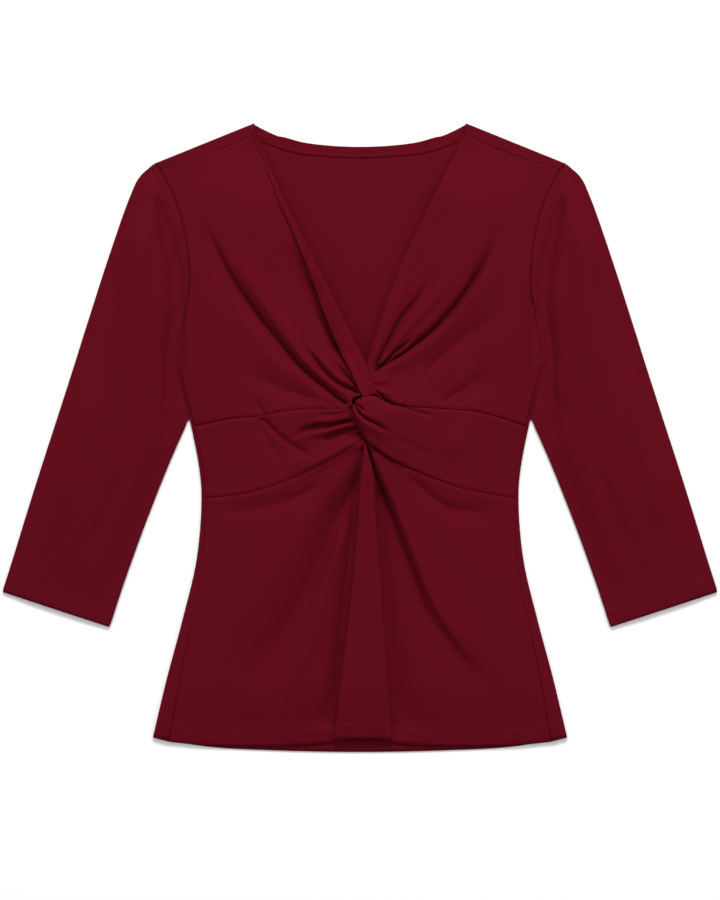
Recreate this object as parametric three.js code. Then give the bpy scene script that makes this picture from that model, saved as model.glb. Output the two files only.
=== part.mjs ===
// Twist-front knit top lying flat on its back, face up, with three-quarter sleeves.
// X runs across the body, Y from hem to neck, Z up from the surface it lies on.
// Left and right are the wearer's, so the right side lies at negative X.
import * as THREE from 'three';

// Cloth
const CLOTH = 1.2;
const SEAM_GAP = 0.3;
const BACK_MID = CLOTH / 2;
const FRONT_MID = 3.0;
const FRONT_LOW = 2.15;
const LOW_SOFTNESS = 0.4;
const EDGE_RADIUS = (FRONT_MID - BACK_MID) / 2;
const EDGE_INSET = EDGE_RADIUS + CLOTH / 2;

// Loft of the front over the back, and the swell of cloth at the knot
const LOFT = 1.9;
const LOFT_TOP = 300;
const LOFT_HEM = -312;
const LOFT_RUN = 70;
const KNOT = { x: 6, y: 22 };
const KNOT_SWELL = 8;
const KNOT_SPREAD = 62;
const KNOT_LIFT = 8.5;
const KNOT_ROLL = 7;
const KNOT_REACH = 58;

// Body outline on each side: outer edge and side seam, from underarm to hem
const UNDERARM = 78;
const SIDE = [
  { y: UNDERARM, edge: 184.7, seam: 181.7 },
  { y: 20, edge: 170.4, seam: 166.9 },
  { y: -31, edge: 160.5, seam: 157.2 },
  { y: -61, edge: 158.5, seam: 155.3 },
  { y: -121, edge: 163.4, seam: 157.4 },
  { y: -181, edge: 177.4, seam: 168 },
  { y: -241, edge: 193.4, seam: 180.5 },
  { y: -299.5, edge: 207.3, seam: 191 },
];
const BUST_LINE = 12;
const WAIST_LINE = -60;
const HEM_LINE = -299.5;

// Shoulders, neck and hem of the back
const SHOULDER_TIP = [-206.6, 274.7];
const NECK_POINT = [-106.5, 314];
const SEAM_TIP = [-199.5, 268.3];
const SEAM_NECK = [-104.4, 304.6];
const SHOULDER_SEAM = [SEAM_TIP, [-159.5, 281.8], [-129.5, 293], SEAM_NECK];
const BACK_NECK = [[-95, 308.5], [-81, 302.5], [-57, 296.5], [-28, 293], [0, 292]];
const BACK_HEM = [[-153.4, -309.4], [-84.5, -312.8], [0, -314]];
const FACING_LOW = [[-96.5, 296.5], [-68, 286.5], [-30, 282], [0, 281]];
const FACING_END = [-97, 301.5];

// Armhole from just over the underarm to the shoulder tip
const ARMHOLE_FOOT = [-175.2, 125];
const ARMHOLE_SPLIT = [-183.5, 234];
const ARMHOLE_LOW = [ARMHOLE_FOOT, [-170.9, 155], [-172.7, 186.5], [-178, 216], ARMHOLE_SPLIT];
const ARMHOLE_TOP = [ARMHOLE_SPLIT, [-189, 247.5], SEAM_TIP];

// Sleeve outline
const SLEEVE_OUTER = [
  [-207.4, 275], [-217, 266.5], [-227, 248.5], [-247, 193.5], [-295, 43.5], [-324, -46.5], [-357, -152.5],
];
const SLEEVE_TIP = [-206.1, 273.2];
const SLEEVE_CROOK = 21.5;
const SLEEVE_INNER = [[-172.6, 18], [-188, -16.5], [-212, -76.5], [-234, -136.5], [-251, -187]];
const SLEEVE_GAP = 0.5;

// Neckline of the wearer's right front with its turned-out strip, and of the left front
const ROLL_EDGE = [
  SEAM_NECK, [-94.2, 282.5], [-79, 244.5], [-60.7, 209.8],
  [-34.5, 156.7], [-9, 104.6], [6.3, 74], [16.5, 45.8],
];
const ROLL_RADIUS = 1.3;
const ROLL_LIP = 3.2;
const STRIP_ROWS = 20;
const STRIP_END = 0.98;
const STRIP_COLUMNS = [0.35, 0.7, 1];
const STRIP = [
  { at: 0, wide: 3.6, lift: 0 },
  { at: 0.2, wide: 4.2, lift: 0 },
  { at: 0.28, wide: 6, lift: 0.5 },
  { at: 0.5, wide: 9.5, lift: 1.5 },
  { at: 0.66, wide: 15.3, lift: 3 },
  { at: 0.82, wide: 17.7, lift: 3.2 },
  { at: 0.93, wide: 16.8, lift: 2.2 },
  { at: 1, wide: 13, lift: 0.8 },
];
const LEFT_BUST_FOOT = [12.6, 61.8];
const LEFT_NECK = [[104.4, 304.6], [88.6, 273.5], [61.4, 216.5], [39.7, 170.5], [23.4, 126.5], [7.4, 77.5]];

// Seams over the front
const KNOT_TOP = [[-5, 36.5], [5.8, 42.4], [16.5, 45.8]];
const KNOT_NOSE = [[16.5, 45.8], [27, 38], [38.3, 31.8]];
const KNOT_CORNER = [[-5, 36.5], [-7.6, 30.2]];
const KNOT_SIDE = [[-7.6, 30.2], [-7, 22.6], [-1.2, 9.8], [4, 0]];
const RIGHT_BUST_SEAM = [
  [-7.6, 30.2], [-40, 31.5], [-80, 26.5], [-98, 22.6], [-129, 19.5], [-165.3, BUST_LINE],
];
const LEFT_BUST_SEAM = [[38.3, 31.8], [72, 29.9], [115.7, 26.5], [143, 19.5], [165.3, BUST_LINE]];
const RIGHT_WAIST_SEAM = [
  [4, 0], [-9.5, -8.7], [-34.3, -23.9], [-75, -42.9], [-116, -55.1], [-155.3, WAIST_LINE],
];
const LEFT_WAIST_SEAM = [
  [4, 0], [28.8, -18.2], [51, -29.7], [100, -49.5], [121, -53.8], [155.3, WAIST_LINE],
];

// Front hem and the box pleat that hangs from the knot
const FRONT_HEM = [[191, -303.3], [160, -306.4], [108, -307.6], [60, -306.6], [26, -303.5]];
const PLEAT = [
  { at: 0, right: 1.2, left: 6.8, fold: 0.6 },
  { at: 0.1, right: 1, left: 13.6, fold: 1 },
  { at: 0.3, right: -5, left: 17, fold: 2.4 },
  { at: 0.66, right: -15, left: 24, fold: 4.6 },
  { at: 1, right: -26.5, left: 32, fold: 6 },
];
const PLEAT_RADIUS = 0.9;
const PLEAT_MIDDLE = [0.33, 0.67];
const PLEAT_HEM_RISE = 4;

// Folds of the front, from the knot outwards: depth is below or above the cloth around,
// left and right are the reaches on either side of the path, start and end the shares that fade
const FOLDS = {
  right_main_valley: { depth: -5, left: 5, right: 6, start: 0.02, end: 0.3,
    path: [[-8, 34], [-28, 44.5], [-50, 62.5], [-67, 83.5], [-108, 130.5], [-143, 191.5], [-165, 235]] },
  right_upper_ridge: { depth: 3.2, left: 9, right: 7, start: 0.1, end: 0.35,
    path: [[-4, 41], [-30, 59], [-52, 88], [-72, 125], [-100, 168], [-148, 224]] },
  right_lower_ridge: { depth: 3, left: 8, right: 11, start: 0.1, end: 0.4,
    path: [[-14, 33], [-40, 46], [-66, 68], [-92, 97], [-122, 140]] },
  right_second_valley: { depth: -4, left: 3.5, right: 3.5, start: 0.05, end: 0.4,
    path: [[0, 46], [-16, 54.5], [-28, 62.5], [-40, 74.5], [-56, 90]] },
  right_third_valley: { depth: -3, left: 3, right: 3, start: 0.1, end: 0.4,
    path: [[2, 51], [-10, 60.5], [-20, 71]] },
  right_strip_hollow: { depth: -4, left: 7, right: 6, start: 0.15, end: 0.3,
    path: [[-12, 78], [-22, 92], [-36, 114], [-46, 140], [-58, 166]] },
  right_low_valley: { depth: -2.6, left: 7, right: 8, start: 0.2, end: 0.4,
    path: [[-32, 36.5], [-56, 42.5], [-80, 50.5], [-100, 60.5], [-122, 78.5]] },
  right_pucker: { depth: -2, left: 3, right: 4, start: 0, end: 0.5,
    path: [[-96, 25], [-104, 38.5]] },
  left_main_valley: { depth: -5, left: 6, right: 5, start: 0.04, end: 0.3,
    path: [[15, 64.5], [40, 86.5], [67, 105.5], [88.6, 126.5], [107.6, 151.5], [134.7, 202.5],
      [148, 224.5]] },
  left_outer_ridge: { depth: 3.4, left: 7, right: 11, start: 0.12, end: 0.4,
    path: [[24, 60], [46, 78], [72, 95], [97, 119], [122, 156]] },
  left_inner_ridge: { depth: 2.6, left: 8, right: 6, start: 0.15, end: 0.4,
    path: [[22, 84], [44, 106], [66, 132], [86, 166], [104, 206]] },
  left_second_valley: { depth: -3.2, left: 4, right: 4, start: 0.08, end: 0.4,
    path: [[14, 72.5], [26, 90], [40, 113.5], [61, 148.5]] },
  left_third_valley: { depth: -2.6, left: 3, right: 3, start: 0.1, end: 0.4,
    path: [[20.7, 75.5], [31.6, 83.5], [42, 94.5], [58.7, 107]] },
  left_fourth_valley: { depth: -2.6, left: 8, right: 9, start: 0.2, end: 0.4,
    path: [[61, 58.5], [69.6, 77.5], [88.6, 99.5], [115.7, 121.5], [148, 143.5]] },
  left_fifth_valley: { depth: -2.4, left: 6, right: 6, start: 0.2, end: 0.4,
    path: [[75, 34.5], [94, 48.5], [115.7, 64.5], [146, 77]] },
  left_sixth_valley: { depth: -1.9, left: 5, right: 5, start: 0.2, end: 0.4,
    path: [[88.6, 30], [110, 42.5], [143, 61.5]] },
  left_pucker: { depth: -3, left: 3, right: 3, start: 0, end: 0.5,
    path: [[15, 53], [34, 55]] },
  right_tuck_ridge: { depth: 3, left: 4, right: 4, start: 0.05, end: 0.4,
    path: [[-9, 22], [-24, 18.5], [-46, 15], [-74, 9]] },
  right_tuck_valley: { depth: -4.4, left: 4, right: 3.5, start: 0.02, end: 0.4,
    path: [[-7, 16], [-23.5, 12], [-44, 8], [-66, 2]] },
  right_tuck_second: { depth: -3.2, left: 3, right: 3.5, start: 0.05, end: 0.4,
    path: [[-1, 9], [-16, 5], [-32, -1], [-44, -6]] },
  right_seam_valley: { depth: -2.4, left: 3, right: 3, start: 0.1, end: 0.4,
    path: [[-12, 27], [-30, 25], [-50, 26]] },
  right_waist_ridge: { depth: 3, left: 6, right: 8, start: 0.1, end: 0.4,
    path: [[0, 0], [-20, -12], [-40, -21], [-84, -31]] },
  right_kink_upright: { depth: -2, left: 4, right: 4, start: 0.05, end: 0.4,
    path: [[-100, 21], [-98, 6.5], [-92, -9.5], [-80, -27.5]] },
  right_kink_slant: { depth: -2.6, left: 4.5, right: 4.5, start: 0.05, end: 0.4,
    path: [[-95, 20], [-84, 10.5], [-72, -3.5], [-42, -17.5]] },
  knot_crease: { depth: -5.5, left: 3, right: 2.5, start: 0, end: 0.5,
    path: [[-6, 33], [-2.5, 26.4], [3.3, 20], [12.8, 13.7], [30, 8]] },
  left_waist_ridge: { depth: 1.8, left: 9, right: 9, start: 0.3, end: 0.3,
    path: [[110, 24], [102, 0], [78, -20]] },
  skirt_right_ridge: { depth: 3.2, left: 13, right: 16, start: 0.1, end: 0.4,
    path: [[-10, -28], [-28, -64.5], [-50, -113.5], [-77, -167.5], [-108, -219.5], [-129, -260.5]] },
  skirt_right_valley: { depth: -2.6, left: 10, right: 12, start: 0.15, end: 0.4,
    path: [[-10, -69.5], [-29, -113.5], [-53, -167.5], [-80, -219.5], [-102, -260.5]] },
  skirt_right_seam: { depth: -2.2, left: 7, right: 7, start: 0.3, end: 0.3,
    path: [[-61.4, -51.5], [-102, -64.5], [-124, -71.5], [-148.3, -67.5]] },
  skirt_left_valley: { depth: -5, left: 10, right: 10, start: 0.02, end: 0.45,
    path: [[14, -16], [26, -56.5], [39.7, -91.5], [53, -129.5], [69.6, -167.5], [88.6, -205.5],
      [137, -257.5]] },
  skirt_left_ridge: { depth: 3.6, left: 14, right: 12, start: 0.1, end: 0.4,
    path: [[28, -40], [44, -82], [63, -124.5], [90, -178.5], [116, -216.5], [154, -254.5]] },
  skirt_left_crescent: { depth: -3.4, left: 7, right: 8, start: 0.15, end: 0.25,
    path: [[42, -33], [69.6, -51.5], [96.7, -67.5], [121, -72.5], [148, -66]] },
  sleeve_right_valley: { depth: -1.7, left: 8, right: 8, start: 0.2, end: 0.2,
    path: [[-208, 254.5], [-200, 224.5], [-192, 186.5], [-192, 148.5], [-184, 116.5]] },
  sleeve_right_ridge: { depth: 2.4, left: 15, right: 15, start: 0.2, end: 0.4,
    path: [[-213.4, 225], [-213.4, 162.5], [-220, 100], [-236, 40]] },
  sleeve_right_side: { depth: -1.8, left: 6, right: 7, start: 0.1, end: 0.1,
    path: [[-178, 134.5], [-187, 78], [-176, 24]] },
  sleeve_left_valley: { depth: -1.7, left: 8, right: 8, start: 0.2, end: 0.2,
    path: [[208, 254.5], [200, 224.5], [192, 186.5], [192, 148.5], [184, 116.5]] },
  sleeve_left_ridge: { depth: 2.4, left: 15, right: 15, start: 0.2, end: 0.4,
    path: [[213.4, 225], [213.4, 162.5], [220, 100], [236, 40]] },
  sleeve_left_side: { depth: -1.8, left: 7, right: 6, start: 0.1, end: 0.1,
    path: [[178, 134.5], [187, 78], [176, 24]] },
};

// Divisions of each sheet: enough to carry the folds, no more
const EDGE_TURNS = [90, 30, -30, -90];
const RISING_TURNS = [...EDGE_TURNS].reverse();
const FOLD_STEPS = 12;
const SIDE_STEPS = 48;
const SIDE_PAIR_STEP = 9;
const TABLE_STEPS = 80;
const PATH_POINTS = 24;
const PATH_NUDGE = 0.01;
const BODY_ROWS = 10;
const ARMHOLE_CUTS = [2, 5, 2];
const SHOULDER_COLUMNS = 4;
const NECK_COLUMNS = 8;
const FACING_COLUMNS = 16;
const BUST_ROWS = { count: 13, power: 1.25 };
const BUST_SIDE_CUTS = 3;
const BUST_SHOULDER_CUTS = 7;
const MIDRIFF_COLUMNS = { count: 15, power: 1.15 };
const MIDRIFF_ROWS = 10;
const KNOT_CUTS = [7, 6, 9];
const KNOT_COLUMNS = [0, 0.012, 0.03];
const FIRST_KNOT_CUT = 3;
const KNOT_ROWS = [0, 0.03, 0.08, 0.16, 0.27, 0.38, 0.5, 0.62, 0.74, 0.87, 1];
const SKIRT_ROWS = { count: 13, power: 1.1 };
const SKIRT_COLUMNS = 11;
const SLEEVE_CLOSING = 3;
const SLEEVE_ROWS = 13;

// Lines that lead the columns of each bust piece from the knot to the armhole
const RIGHT_BUST_GUIDE = [[-28, 44.5], [-50, 62.5], [-67, 83.5], [-108, 130.5], [-143, 191.5]];
const LEFT_BUST_GUIDE = [[40, 86.5], [67, 105.5], [88.6, 126.5], [107.6, 151.5], [134.7, 202.5]];

// Limits of the walls: how far a steep face may move, how far a sharp corner, and what counts as one point
const MAX_SECANT = 2;
const SHARPEST_CORNER = 0.35;
const POINTS_PER_MM = 500;

const point = (x, y, z = 0) => new THREE.Vector3(x, y, z);
const mix = (a, b, t) => a + (b - a) * t;
const clamp = (value) => Math.min(1, Math.max(0, value));
const mirrored = (pairs) => pairs.map(([x, y]) => [-x, y]);
const even = (count) => Array.from({ length: count + 1 }, (_, i) => i / count);
const gathered = ({ count, power }) => even(count).map((t) => t ** power);
const pairOf = (spot) => [spot.x, spot.y];
const throughHalves = (half) => [...half, ...mirrored(half.slice(0, -1)).reverse()];

// A smooth line through each list of pairs, with a corner where one list meets the next
function line(...stretches) {
  const path = new THREE.CurvePath();
  for (const stretch of stretches) {
    const points = stretch.map(([x, y]) => point(x, y));
    path.add(new THREE.CatmullRomCurve3(points, false, 'centripetal'));
  }
  return path;
}

// Shares of the whole path at which each of its stretches is cut into equal parts
function cuts(path, counts) {
  const lengths = path.getCurveLengths();
  const whole = lengths[lengths.length - 1];
  const shares = [0];
  counts.forEach((count, k) => {
    const from = k === 0 ? 0 : lengths[k - 1];
    for (let i = 1; i <= count; i++) {
      shares.push(mix(from, lengths[k], i / count) / whole);
    }
  });
  return shares;
}

// Rows of points between four lines that meet at their ends
function fill(near, far, first, last, across, along) {
  const corner = [near.getPoint(0), near.getPoint(1), far.getPoint(0), far.getPoint(1)];
  return along.map((v, i) => across.map((u, j) => {
    const spot = point(0, 0);
    spot.addScaledVector(near.getPoint(u), 1 - v).addScaledVector(far.getPoint(u), v);
    spot.addScaledVector(first.getPoint(v), 1 - u).addScaledVector(last.getPoint(v), u);
    spot.addScaledVector(corner[0], -(1 - u) * (1 - v)).addScaledVector(corner[1], -u * (1 - v));
    spot.addScaledVector(corner[2], -(1 - u) * v).addScaledVector(corner[3], -u * v);
    return spot;
  }));
}

// Value of one column of a table at a place between its rows
function read(table, key, column, place) {
  const rising = table[1][key] > table[0][key];
  const rows = rising ? table : [...table].reverse();
  if (place <= rows[0][key]) return rows[0][column];
  for (let k = 1; k < rows.length; k++) {
    if (place <= rows[k][key]) {
      const share = (place - rows[k - 1][key]) / (rows[k][key] - rows[k - 1][key]);
      return mix(rows[k - 1][column], rows[k][column], share);
    }
  }
  return rows[rows.length - 1][column];
}

// Nearest place on a chain of points: distance, side and share of its length
function nearest(chain, x, y) {
  let best = { distance: Infinity, side: 1, share: 0 };
  let run = 0;
  for (let k = 1; k < chain.length; k++) {
    const dx = chain[k].x - chain[k - 1].x;
    const dy = chain[k].y - chain[k - 1].y;
    const reach = Math.hypot(dx, dy);
    const t = clamp(((x - chain[k - 1].x) * dx + (y - chain[k - 1].y) * dy) / (reach * reach));
    const away = [x - chain[k - 1].x - dx * t, y - chain[k - 1].y - dy * t];
    const distance = Math.hypot(...away);
    if (distance < best.distance) {
      best = { distance, side: Math.sign(dx * away[1] - dy * away[0]) || 1, share: run + reach * t };
    }
    run += reach;
  }
  best.share /= run;
  return best;
}

const sideEdges = line(SIDE.map((row) => [row.edge, row.y])).getSpacedPoints(SIDE_STEPS);
const sideSeams = line(SIDE.map((row) => [row.seam, row.y])).getSpacedPoints(SIDE_STEPS);
const sideTables = { edge: sideEdges, seam: sideSeams };
const sideAt = (kind, y) => read(sideTables[kind], 'y', 'x', y);

const folds = Object.values(FOLDS);
const foldChains = folds.map((fold) => line(fold.path).getSpacedPoints(FOLD_STEPS));
const knotChain = line([...KNOT_NOSE].reverse(), [...KNOT_TOP].reverse(), KNOT_CORNER, KNOT_SIDE)
  .getSpacedPoints(FOLD_STEPS * 2);

// How much one fold lifts or sinks the cloth
function foldHeight(fold, chain, x, y) {
  const spot = nearest(chain, x, y);
  const reach = spot.side > 0 ? fold.left : fold.right;
  const start = fold.start > 0 ? clamp(spot.share / fold.start) : 1;
  const end = fold.end > 0 ? clamp((1 - spot.share) / fold.end) : 1;
  const fade = THREE.MathUtils.smoothstep(start, 0, 1) * THREE.MathUtils.smoothstep(end, 0, 1);
  return fold.depth * fade * Math.exp(-((spot.distance / reach) ** 2));
}

// Middle height of the front cloth over the surface
function frontHeight(x, y) {
  const edge = sideAt('edge', Math.min(y, UNDERARM));
  const beside = clamp(1 - (Math.abs(x) / edge) ** 6);
  const above = clamp((LOFT_TOP - y) / LOFT_RUN);
  const below = clamp((y - LOFT_HEM) / LOFT_RUN);
  let z = FRONT_MID + LOFT * beside * THREE.MathUtils.smoothstep(above * below, 0, 1);
  z += KNOT_SWELL * Math.exp(-((Math.hypot(x - KNOT.x, y - KNOT.y) / KNOT_SPREAD) ** 2));
  folds.forEach((fold, k) => {
    z += foldHeight(fold, foldChains[k], x, y);
  });
  const over = z - FRONT_LOW;
  return FRONT_LOW + (over + Math.hypot(over, LOW_SOFTNESS)) / 2;
}

// The knot stands over the cloth around it and rolls down at its own edge
function knotHeight(x, y) {
  const inside = nearest(knotChain, x, y).distance;
  const roll = Math.sqrt(1 - (1 - clamp(inside / KNOT_ROLL)) ** 2);
  const reach = Math.exp(-((Math.hypot(x - KNOT.x, y - KNOT.y) / KNOT_REACH) ** 2));
  return frontHeight(x, y) + KNOT_LIFT * roll * reach;
}

// Gives a plan its heights
function lay(grid, height) {
  return grid.map((row) => row.map((spot) => point(spot.x, spot.y, height(spot.x, spot.y))));
}

// Rows of points that turn round a folded edge, from the upper layer down to the lower one
function turnEdge(centres, height, hand) {
  return centres.map((spot, i) => {
    const before = centres[Math.max(0, i - 1)];
    const after = centres[Math.min(centres.length - 1, i + 1)];
    const out = point(after.y - before.y, before.x - after.x).normalize().multiplyScalar(hand);
    const radius = (height(spot.x, spot.y) - BACK_MID) / 2;
    return EDGE_TURNS.map((turn) => {
      const angle = THREE.MathUtils.degToRad(turn);
      const reach = radius * Math.cos(angle);
      return point(spot.x + out.x * reach, spot.y + out.y * reach, BACK_MID + radius * (1 + Math.sin(angle)));
    });
  });
}

// One sheet from several grids whose shared points coincide
function joinGrids(grids) {
  const sheet = { points: [], quads: [] };
  const known = new Map();
  const number = (spot) => {
    const key = [spot.x, spot.y, spot.z].map((value) => Math.round(value * POINTS_PER_MM)).join(' ');
    if (!known.has(key)) {
      known.set(key, sheet.points.length);
      sheet.points.push(spot.clone());
    }
    return known.get(key);
  };
  for (const grid of grids) {
    const ids = grid.map((row) => row.map(number));
    for (let i = 1; i < ids.length; i++) {
      for (let j = 1; j < ids[i].length; j++) {
        sheet.quads.push([ids[i - 1][j - 1], ids[i - 1][j], ids[i][j], ids[i][j - 1]]);
      }
    }
  }
  return sheet;
}

// Edges of a quad as pairs of point numbers
const edgesOf = (quad) => quad.map((id, k) => [id, quad[(k + 1) % 4]]);
const edgeKey = (a, b) => `${Math.min(a, b)} ${Math.max(a, b)}`;

// Turns every quad so that neighbours face the same way
function faceTogether(sheet) {
  const users = new Map();
  sheet.quads.forEach((quad, q) => edgesOf(quad).forEach(([a, b]) => {
    const key = edgeKey(a, b);
    users.set(key, [...(users.get(key) ?? []), q]);
  }));
  const seen = new Set([0]);
  const waiting = [0];
  while (waiting.length > 0) {
    const q = waiting.pop();
    for (const [a, b] of edgesOf(sheet.quads[q])) {
      for (const other of users.get(edgeKey(a, b))) {
        if (seen.has(other)) continue;
        const same = edgesOf(sheet.quads[other]).some(([c, d]) => c === a && d === b);
        if (same) sheet.quads[other].reverse();
        seen.add(other);
        waiting.push(other);
      }
    }
  }
}

// Normal of each point, from the quads around it
function pointNormals(sheet) {
  const normals = sheet.points.map(() => point(0, 0));
  for (const quad of sheet.quads) {
    const [a, b, c, d] = quad.map((id) => sheet.points[id]);
    const normal = c.clone().sub(a).cross(d.clone().sub(b)).normalize();
    quad.forEach((id) => normals[id].add(normal));
  }
  return normals.map((normal) => normal.normalize());
}

// Edges that only one quad has, in that quad's order
function rimOf(sheet) {
  const count = new Map();
  const all = sheet.quads.flatMap(edgesOf);
  all.forEach(([a, b]) => count.set(edgeKey(a, b), (count.get(edgeKey(a, b)) ?? 0) + 1));
  return all.filter(([a, b]) => count.get(edgeKey(a, b)) === 1);
}

// Draws the rim in by half the seam gap, in plan
function drawIn(sheet, amount) {
  const normals = pointNormals(sheet);
  const inward = new Map();
  for (const [a, b] of rimOf(sheet)) {
    const along = sheet.points[b].clone().sub(sheet.points[a]).normalize();
    for (const id of [a, b]) {
      const turn = normals[id].clone().cross(along).setZ(0).normalize();
      inward.set(id, [...(inward.get(id) ?? []), turn]);
    }
  }
  for (const [id, [one, two]] of inward) {
    const share = Math.max(SHARPEST_CORNER, 1 + one.dot(two));
    sheet.points[id].addScaledVector(one.clone().add(two), amount / share);
  }
}

// Places of both faces of a wall; a plumb wall keeps its plan on both
function facePlaces(sheet, plumb, cloth) {
  const normals = pointNormals(sheet);
  const places = [];
  for (const side of [1, -1]) {
    sheet.points.forEach((spot, id) => {
      const normal = normals[id];
      const rise = Math.min(MAX_SECANT, 1 / Math.abs(normal.z));
      const step = plumb ? point(0, 0, Math.sign(normal.z) * rise) : normal;
      const face = spot.clone().addScaledVector(step, (side * cloth) / 2);
      places.push(face.x, face.y, face.z);
    });
  }
  return places;
}

// Triangles of both faces and of the rim between them
function faceIndex(sheet) {
  const count = sheet.points.length;
  const index = [];
  for (const [a, b, c, d] of sheet.quads) {
    const points = [a, b, c, d].map((id) => sheet.points[id]);
    const short = points[0].distanceTo(points[2]) <= points[1].distanceTo(points[3]);
    const halves = short ? [[a, b, c], [a, c, d]] : [[a, b, d], [b, c, d]];
    for (const [p, q, r] of halves) {
      index.push(p, q, r, r + count, q + count, p + count);
    }
  }
  for (const [a, b] of rimOf(sheet)) {
    index.push(a, a + count, b, b, a + count, b + count);
  }
  return index;
}

// Closed wall on both sides of a sheet
function wall(grids, { plumb = false, inset = SEAM_GAP / 2, cloth = CLOTH } = {}) {
  const sheet = joinGrids(grids);
  faceTogether(sheet);
  drawIn(sheet, inset);
  const geometry = new THREE.BufferGeometry();
  geometry.setAttribute('position', new THREE.Float32BufferAttribute(facePlaces(sheet, plumb, cloth), 3));
  geometry.setIndex(faceIndex(sheet));
  if (volume(geometry) < 0) {
    geometry.setIndex([...geometry.index.array].reverse());
  }
  return geometry;
}

// Signed volume of a closed geometry
function volume(geometry) {
  const index = geometry.index.array;
  const places = geometry.attributes.position;
  const at = (id) => point(places.getX(id), places.getY(id), places.getZ(id));
  let sum = 0;
  for (let k = 0; k < index.length; k += 3) {
    sum += at(index[k]).dot(at(index[k + 1]).cross(at(index[k + 2])));
  }
  return sum / 6;
}

// The edge or seam of the wearer's right side as pairs, between two heights
function sidePairs(kind, from, to, inset = 0) {
  const count = Math.ceil(Math.abs(to - from) / SIDE_PAIR_STEP);
  return even(count).map((t) => {
    const y = mix(from, to, t);
    return [-(sideAt(kind, y) - inset), y];
  });
}

const flip = (grid) => grid.map((row) => row.map((spot) => point(-spot.x, spot.y, spot.z)));
const columnOf = (grid, j) => grid.map((row) => row.at(j));

// Back: the floor sheet, with its sides and shoulders turned up and over to the front seams
function backPanel() {
  const shoulderDrop = point(NECK_POINT[1] - SHOULDER_TIP[1], SHOULDER_TIP[0] - NECK_POINT[0])
    .normalize().multiplyScalar(EDGE_INSET);
  const inside = ([x, y]) => [x + shoulderDrop.x, y + shoulderDrop.y];
  const tip = inside(SHOULDER_TIP);
  const neck = inside(NECK_POINT);
  const top = line([tip, neck], throughHalves([neck, ...BACK_NECK]), mirrored([neck, tip]));
  const side = sidePairs('edge', HEM_LINE, UNDERARM, EDGE_INSET);
  const stretches = [side, [side.at(-1), ARMHOLE_FOOT], ARMHOLE_LOW, ARMHOLE_TOP, [SEAM_TIP, tip]];
  const left = line(...stretches);
  const right = line(...stretches.map(mirrored));
  const bottom = line(throughHalves([side[0], ...BACK_HEM]));
  const across = cuts(top, [SHOULDER_COLUMNS, NECK_COLUMNS, SHOULDER_COLUMNS]);
  const along = cuts(left, [BODY_ROWS, ...ARMHOLE_CUTS, 1]);
  const floor = fill(bottom, top, left, right, across, along).map((row) => row.map(
    (spot) => point(spot.x, spot.y, BACK_MID)));
  return wall([floor, ...sideReturns(floor, side), ...shoulderReturns(floor)]);
}

// Strips of the back that come round the sides, up to the side seams
function sideReturns(floor, side) {
  const centres = columnOf(floor, 0).slice(0, BODY_ROWS + 1);
  const turned = turnEdge(centres, () => FRONT_MID, -1);
  const seam = line(sidePairs('seam', HEM_LINE, UNDERARM));
  const strip = turned.map((row, i) => [row[0], seamSpot(seam, i / BODY_ROWS)]);
  strip[0][1].y = FRONT_HEM[0][1];
  return [turned, strip, flip(turned), flip(strip)];
}

const seamSpot = (seam, share) => seam.getPoint(share).setZ(FRONT_MID);

// Strips of the back that come over the shoulders, up to the shoulder seams
function shoulderReturns(floor) {
  const centres = floor.at(-1).slice(0, SHOULDER_COLUMNS + 1);
  const turned = turnEdge(centres, () => FRONT_MID, -1);
  const seam = line(SHOULDER_SEAM);
  const strip = turned.map((row, i) => [row[0], seamSpot(seam, i / SHOULDER_COLUMNS)]);
  return [turned, strip, flip(turned), flip(strip)];
}

// Facing inside the back neck, lying on the back
function backNeckFacing() {
  const upper = line(throughHalves([FACING_END, ...BACK_NECK.slice(1)]));
  const lower = line(throughHalves(FACING_LOW));
  const left = line([FACING_LOW[0], FACING_END]);
  const right = line(mirrored([FACING_LOW[0], FACING_END]));
  const grid = fill(lower, upper, left, right, even(FACING_COLUMNS), even(1));
  return wall([lay(grid, () => BACK_MID + CLOTH + SEAM_GAP)], { plumb: true });
}

// Way that a path runs at a share of its length
function wayAlong(path, t) {
  const before = path.getPoint(Math.max(0, t - PATH_NUDGE));
  const after = path.getPoint(Math.min(1, t + PATH_NUDGE));
  return after.sub(before).normalize();
}

// A line set to one side of another
function beside(path, distance) {
  return line(even(PATH_POINTS).map((t) => {
    const spot = path.getPoint(t);
    const along = wayAlong(path, t);
    return [spot.x + along.y * distance, spot.y - along.x * distance];
  }));
}

// Front of the wearer's right side, from the knot to shoulder, armhole and side
function bustRight() {
  const neck = beside(line([...ROLL_EDGE].reverse()), -(ROLL_LIP + SEAM_GAP));
  const middle = KNOT_TOP[0];
  const side = sidePairs('seam', BUST_LINE, UNDERARM);
  return bustWall({
    guide: line([middle, ...RIGHT_BUST_GUIDE, ARMHOLE_SPLIT]),
    seam: line(RIGHT_BUST_SEAM),
    neck,
    nearLow: line([RIGHT_BUST_SEAM[0], middle]),
    nearHigh: line([middle, KNOT_TOP[1], pairOf(neck.getPoint(0))]),
    farLow: line(side, [side.at(-1), ARMHOLE_FOOT], ARMHOLE_LOW),
    farHigh: line(ARMHOLE_TOP, [...SHOULDER_SEAM.slice(0, -1), pairOf(neck.getPoint(1))]),
  });
}

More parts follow.
